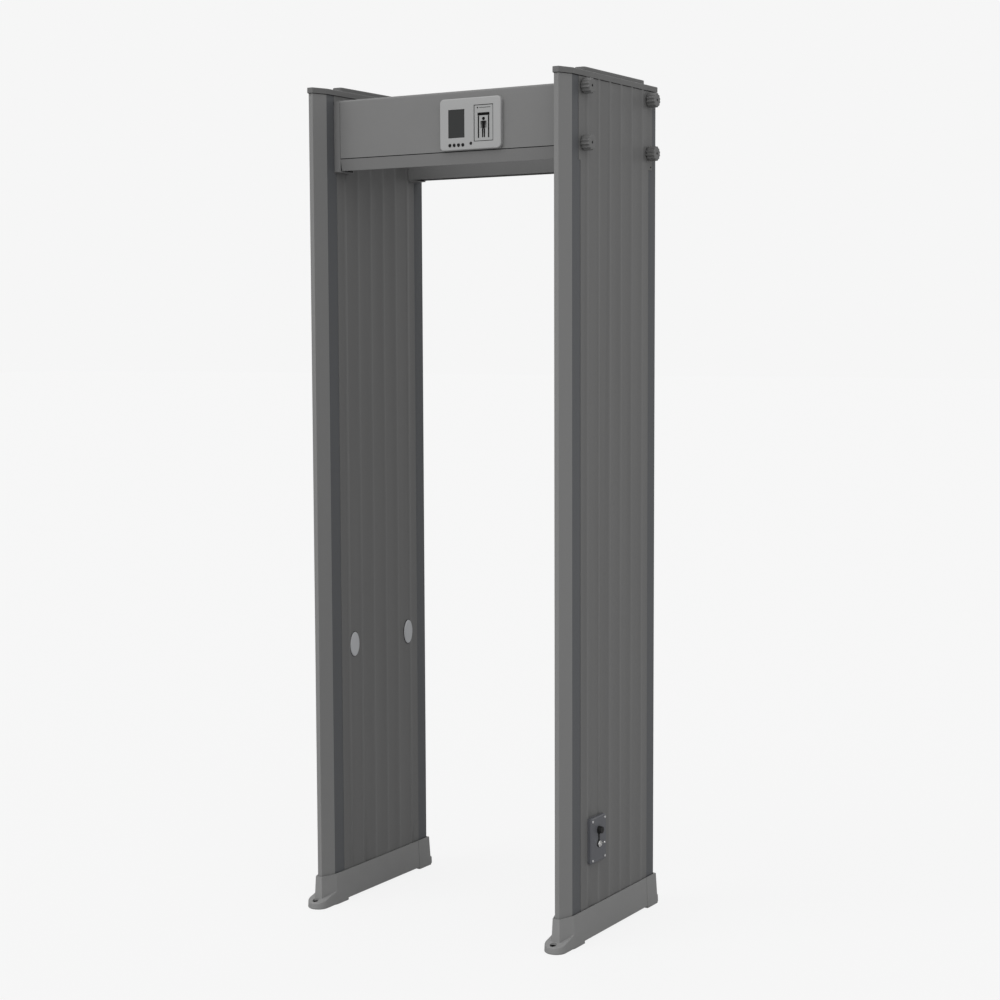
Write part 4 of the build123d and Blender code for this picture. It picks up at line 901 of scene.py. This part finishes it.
# %% Rings and dots of the four lenses
CROWN_RISE = 3.0 * MM            # how far a lens stands in front of the flat of the board
RING_RISE = 1.0 * MM             # and how far its ring does
RING_DEPTH = 1.3 * MM
LENS_LEDGE = 3 * MM              # width of the hidden ledge round a lens
RING_OUTSIDE, RING_INSIDE = 1.1 * MM, 0.05 * MM     # beyond the edge of the lens
DOT_BELOW_CROWN = 0.02 * MM
DOT_DEPTH = 0.4 * MM
DOT_RADIUS = 1.7 * MM
DOT_ASIDE, DOT_BELOW = 2.5 * MM, 1.0 * MM
DOT_STEPS = 20
lenses = [node for node, slot in slot_of.items() if slot == "sensor_pale"]
for node in lenses:
    low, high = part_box(node)
    y, z = middle_of(low, high, 1), middle_of(low, high, 2)
    left = high[0] < 0
    inward = 1.0 if left else -1.0
    crown_x = high[0] if left else low[0]
    ring_x = crown_x - inward * CROWN_RISE + inward * RING_RISE
    half_y, half_z = (high[1] - low[1]) / 2 - LENS_LEDGE, (high[2] - low[2]) / 2 - LENS_LEDGE
    outer = ellipse_loop(ring_x, y, z, half_y + RING_OUTSIDE, half_z + RING_OUTSIDE)
    inner = ellipse_loop(ring_x, y, z, half_y + RING_INSIDE, half_z + RING_INSIDE)
    band = ring_mesh(node + "_ring", outer, inner, Vector((-inward * RING_DEPTH, 0, 0)))
    hand_over(node + "_ring", band, "gate", "socket_black", painted="shadow_rubber")
    dot_x = crown_x - inward * DOT_BELOW_CROWN
    spot = ellipse_loop(dot_x, y + DOT_ASIDE, z - DOT_BELOW, DOT_RADIUS, DOT_RADIUS, DOT_STEPS)
    spot_mesh = plates_mesh(node + "_dot", [spot], Vector((-inward * DOT_DEPTH, 0, 0)))
    hand_over(node + "_dot", spot_mesh, "gate", "eye_dark")
print("lenses:", len(lenses))

# %% [markdown]
# ## Shadow line under the caps
# Under the edge of each top cap a thin black ring paints the shade in the joint between cap and
# panel, all round it. It follows the panel's outline: straight sides, a square rear end and a taper
# to the flat nose in front.

# %% Black rings that paint the shade under the caps
HALF_TIP = 6.5 * MM              # half the width of the flat nose
TIP_GROWTH = 0.6                 # a slanted side moves out less at the tip
LINE_HEIGHT = 1.3 * MM
LINE_OUTSIDE, LINE_INSIDE = 0.5 * MM, -0.4 * MM


def panel_outline(side, grow, z):
    """The outline of a side panel at a height, moved out by a distance."""
    nose_low, nose_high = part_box(side + "_front_nose")
    middle, half = middle_of(nose_low, nose_high, 0), (nose_high[0] - nose_low[0]) / 2
    tip_y, ridge_y, rear_y = nose_low[1], nose_high[1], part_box(side + "_rear_post")[1][1]
    return [
        (middle - HALF_TIP - TIP_GROWTH * grow, tip_y - grow, z),
        (middle + HALF_TIP + TIP_GROWTH * grow, tip_y - grow, z),
        (middle + half + grow, ridge_y, z), (middle + half + grow, rear_y + grow, z),
        (middle - half - grow, rear_y + grow, z), (middle - half - grow, ridge_y, z),
    ]


# Each ring is black and paints the shade under the cap's edge.
for side in ("left", "right"):
    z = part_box(side + "_front_nose")[1][2] - LINE_HEIGHT
    outer, inner = panel_outline(side, LINE_OUTSIDE, z), panel_outline(side, LINE_INSIDE, z)
    line = ring_mesh(side + "_cap_gasket", outer, inner, Vector((0, 0, LINE_HEIGHT)))
    hand_over(side + "_cap_gasket", line, "gate", "socket_black", painted="shadow_rubber")
print("two cap shade rings")

# %% [markdown]
# ## Painted shade in the shoes
# The panel stands in a socket in its shoe. The open groove round it is filled with a black ring a
# little below the rim, which paints the groove's shade as a dark line. The recess of each floor
# bolt is lined with a short black sleeve and has a black washer on its seat, which paint the shade
# in the bore.

# %% Black rings of painted shade in the shoe groove and the bolt recesses
# The seal named below is the black ring that paints the shade in the groove round the panel; the
# sleeves and washers paint the shade in the bolt recesses.
GROOVE = 1.9 * MM
GROOVE_SHADE_INSIDE = 0.1 * MM           # gap between the panel and the seal
GROOVE_SHADE_BELOW = 0.6 * MM            # from the rim of the shoe down to the seal
GROOVE_SHADE_DEPTH = 4.0 * MM
BOLT_INSET = 15.5 * MM           # from the tip of an ear to its bolt
SLEEVE_TOP, SLEEVE_HEIGHT = 19.0 * MM, 9.2 * MM
SLEEVE_OUTSIDE, SLEEVE_INSIDE = 8.9 * MM, 8.1 * MM
SEAT = 8.0 * MM                  # height of the bolt's seat over the floor
WASHER_RISE, WASHER_THICKNESS = 1.6 * MM, 1.5 * MM
WASHER_OUTSIDE, WASHER_INSIDE = 8.6 * MM, 6.2 * MM
for side in ("left", "right"):
    shoe_low, shoe_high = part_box(side + "_base_shoe")
    x = middle_of(*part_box(side + "_front_nose"), 0)
    z = shoe_high[2] - GROOVE_SHADE_BELOW
    outer, inner = panel_outline(side, GROOVE, z), panel_outline(side, GROOVE_SHADE_INSIDE, z)
    groove_shade_ring = ring_mesh(side + "_shoe_seal", outer, inner, Vector((0, 0, -GROOVE_SHADE_DEPTH)))
    hand_over(side + "_shoe_seal", groove_shade_ring, "gate", "strap_rubber", painted="shadow_rubber")
    for end, y in (("front", shoe_low[1] + BOLT_INSET), ("rear", shoe_high[1] - BOLT_INSET)):
        for part, outside, inside, z, height in (
                ("_sleeve", SLEEVE_OUTSIDE, SLEEVE_INSIDE, SLEEVE_TOP, SLEEVE_HEIGHT),
                ("_washer", WASHER_OUTSIDE, WASHER_INSIDE, SEAT + WASHER_RISE, WASHER_THICKNESS)):
            name = side + "_" + end + part
            wide, tight = flat_circle(x, y, z, outside), flat_circle(x, y, z, inside)
            ring = ring_mesh(name, wide, tight, Vector((0, 0, -height)))
            hand_over(name, ring, "gate", "strap_rubber", painted="shadow_rubber")
print("shade rings in grooves and bolt recesses done")

# %% [markdown]
# ## Seams of the beams
# The face of each cover is a folded sheet, and the fold has a groove in which a black strip lies
# that paints the groove's shade. It draws one sharp line along the whole beam and tells the eye
# that the lower zone is set back. Above it, a fine dark joint parts the control cover from the
# bracket at each end.

# %% Black strips that paint the shade of the fold grooves
FOLD_RISE = 31.8 * MM            # from the lower edge of a cover to its fold
STRIP_HALF = 0.9 * MM            # half the height of a strip
STRIP_SINK, STRIP_DEPTH = 0.25 * MM, 0.9 * MM
STRIP_SHORT = 0.5 * MM           # how much shorter a strip is at each end


def upright_loop(x_low, x_high, y, z_low, z_high):
    """Points of a rectangle that faces along Y."""
    return [(x_low, y, z_low), (x_high, y, z_low), (x_high, y, z_high), (x_low, y, z_high)]


for node, facing in (("control_cover", -1), ("rear_beam_cover", 1)):
    low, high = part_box(node)
    y = (low[1] if facing < 0 else high[1]) - facing * STRIP_SINK
    fold = low[2] + FOLD_RISE
    loop = upright_loop(low[0] + STRIP_SHORT, high[0] - STRIP_SHORT, y,
                        fold - STRIP_HALF, fold + STRIP_HALF)
    # The black strip sits in the real fold groove and paints its shade.
    fold_shade_strip = plates_mesh(node + "_strip", [loop], Vector((0, -facing * STRIP_DEPTH, 0)))
    hand_over(node + "_strip", fold_shade_strip, "gate", "strap_rubber", painted="shadow_rubber")

# %% Joints between the control cover and its brackets
JOINT_HALF = 0.35 * MM           # half the width of a joint
JOINT_RISE, JOINT_DEPTH = 0.08 * MM, 0.3 * MM
JOINT_ABOVE_FOLD, JOINT_BELOW_TOP = 1.5 * MM, 6.5 * MM
low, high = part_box("control_cover")
for side, edge in (("left", 1), ("right", 0)):
    joint_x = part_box(side + "_front_bracket")[edge][0]
    loop = upright_loop(joint_x - JOINT_HALF, joint_x + JOINT_HALF, low[1] - JOINT_RISE,
                        low[2] + FOLD_RISE + JOINT_ABOVE_FOLD, high[2] - JOINT_BELOW_TOP)
    joint = plates_mesh(side + "_bracket_joint", [loop], Vector((0, JOINT_DEPTH, 0)))
    hand_over(side + "_bracket_joint", joint, "gate", "strap_rubber", painted="shadow_rubber")
print("cover strips and bracket joints done")
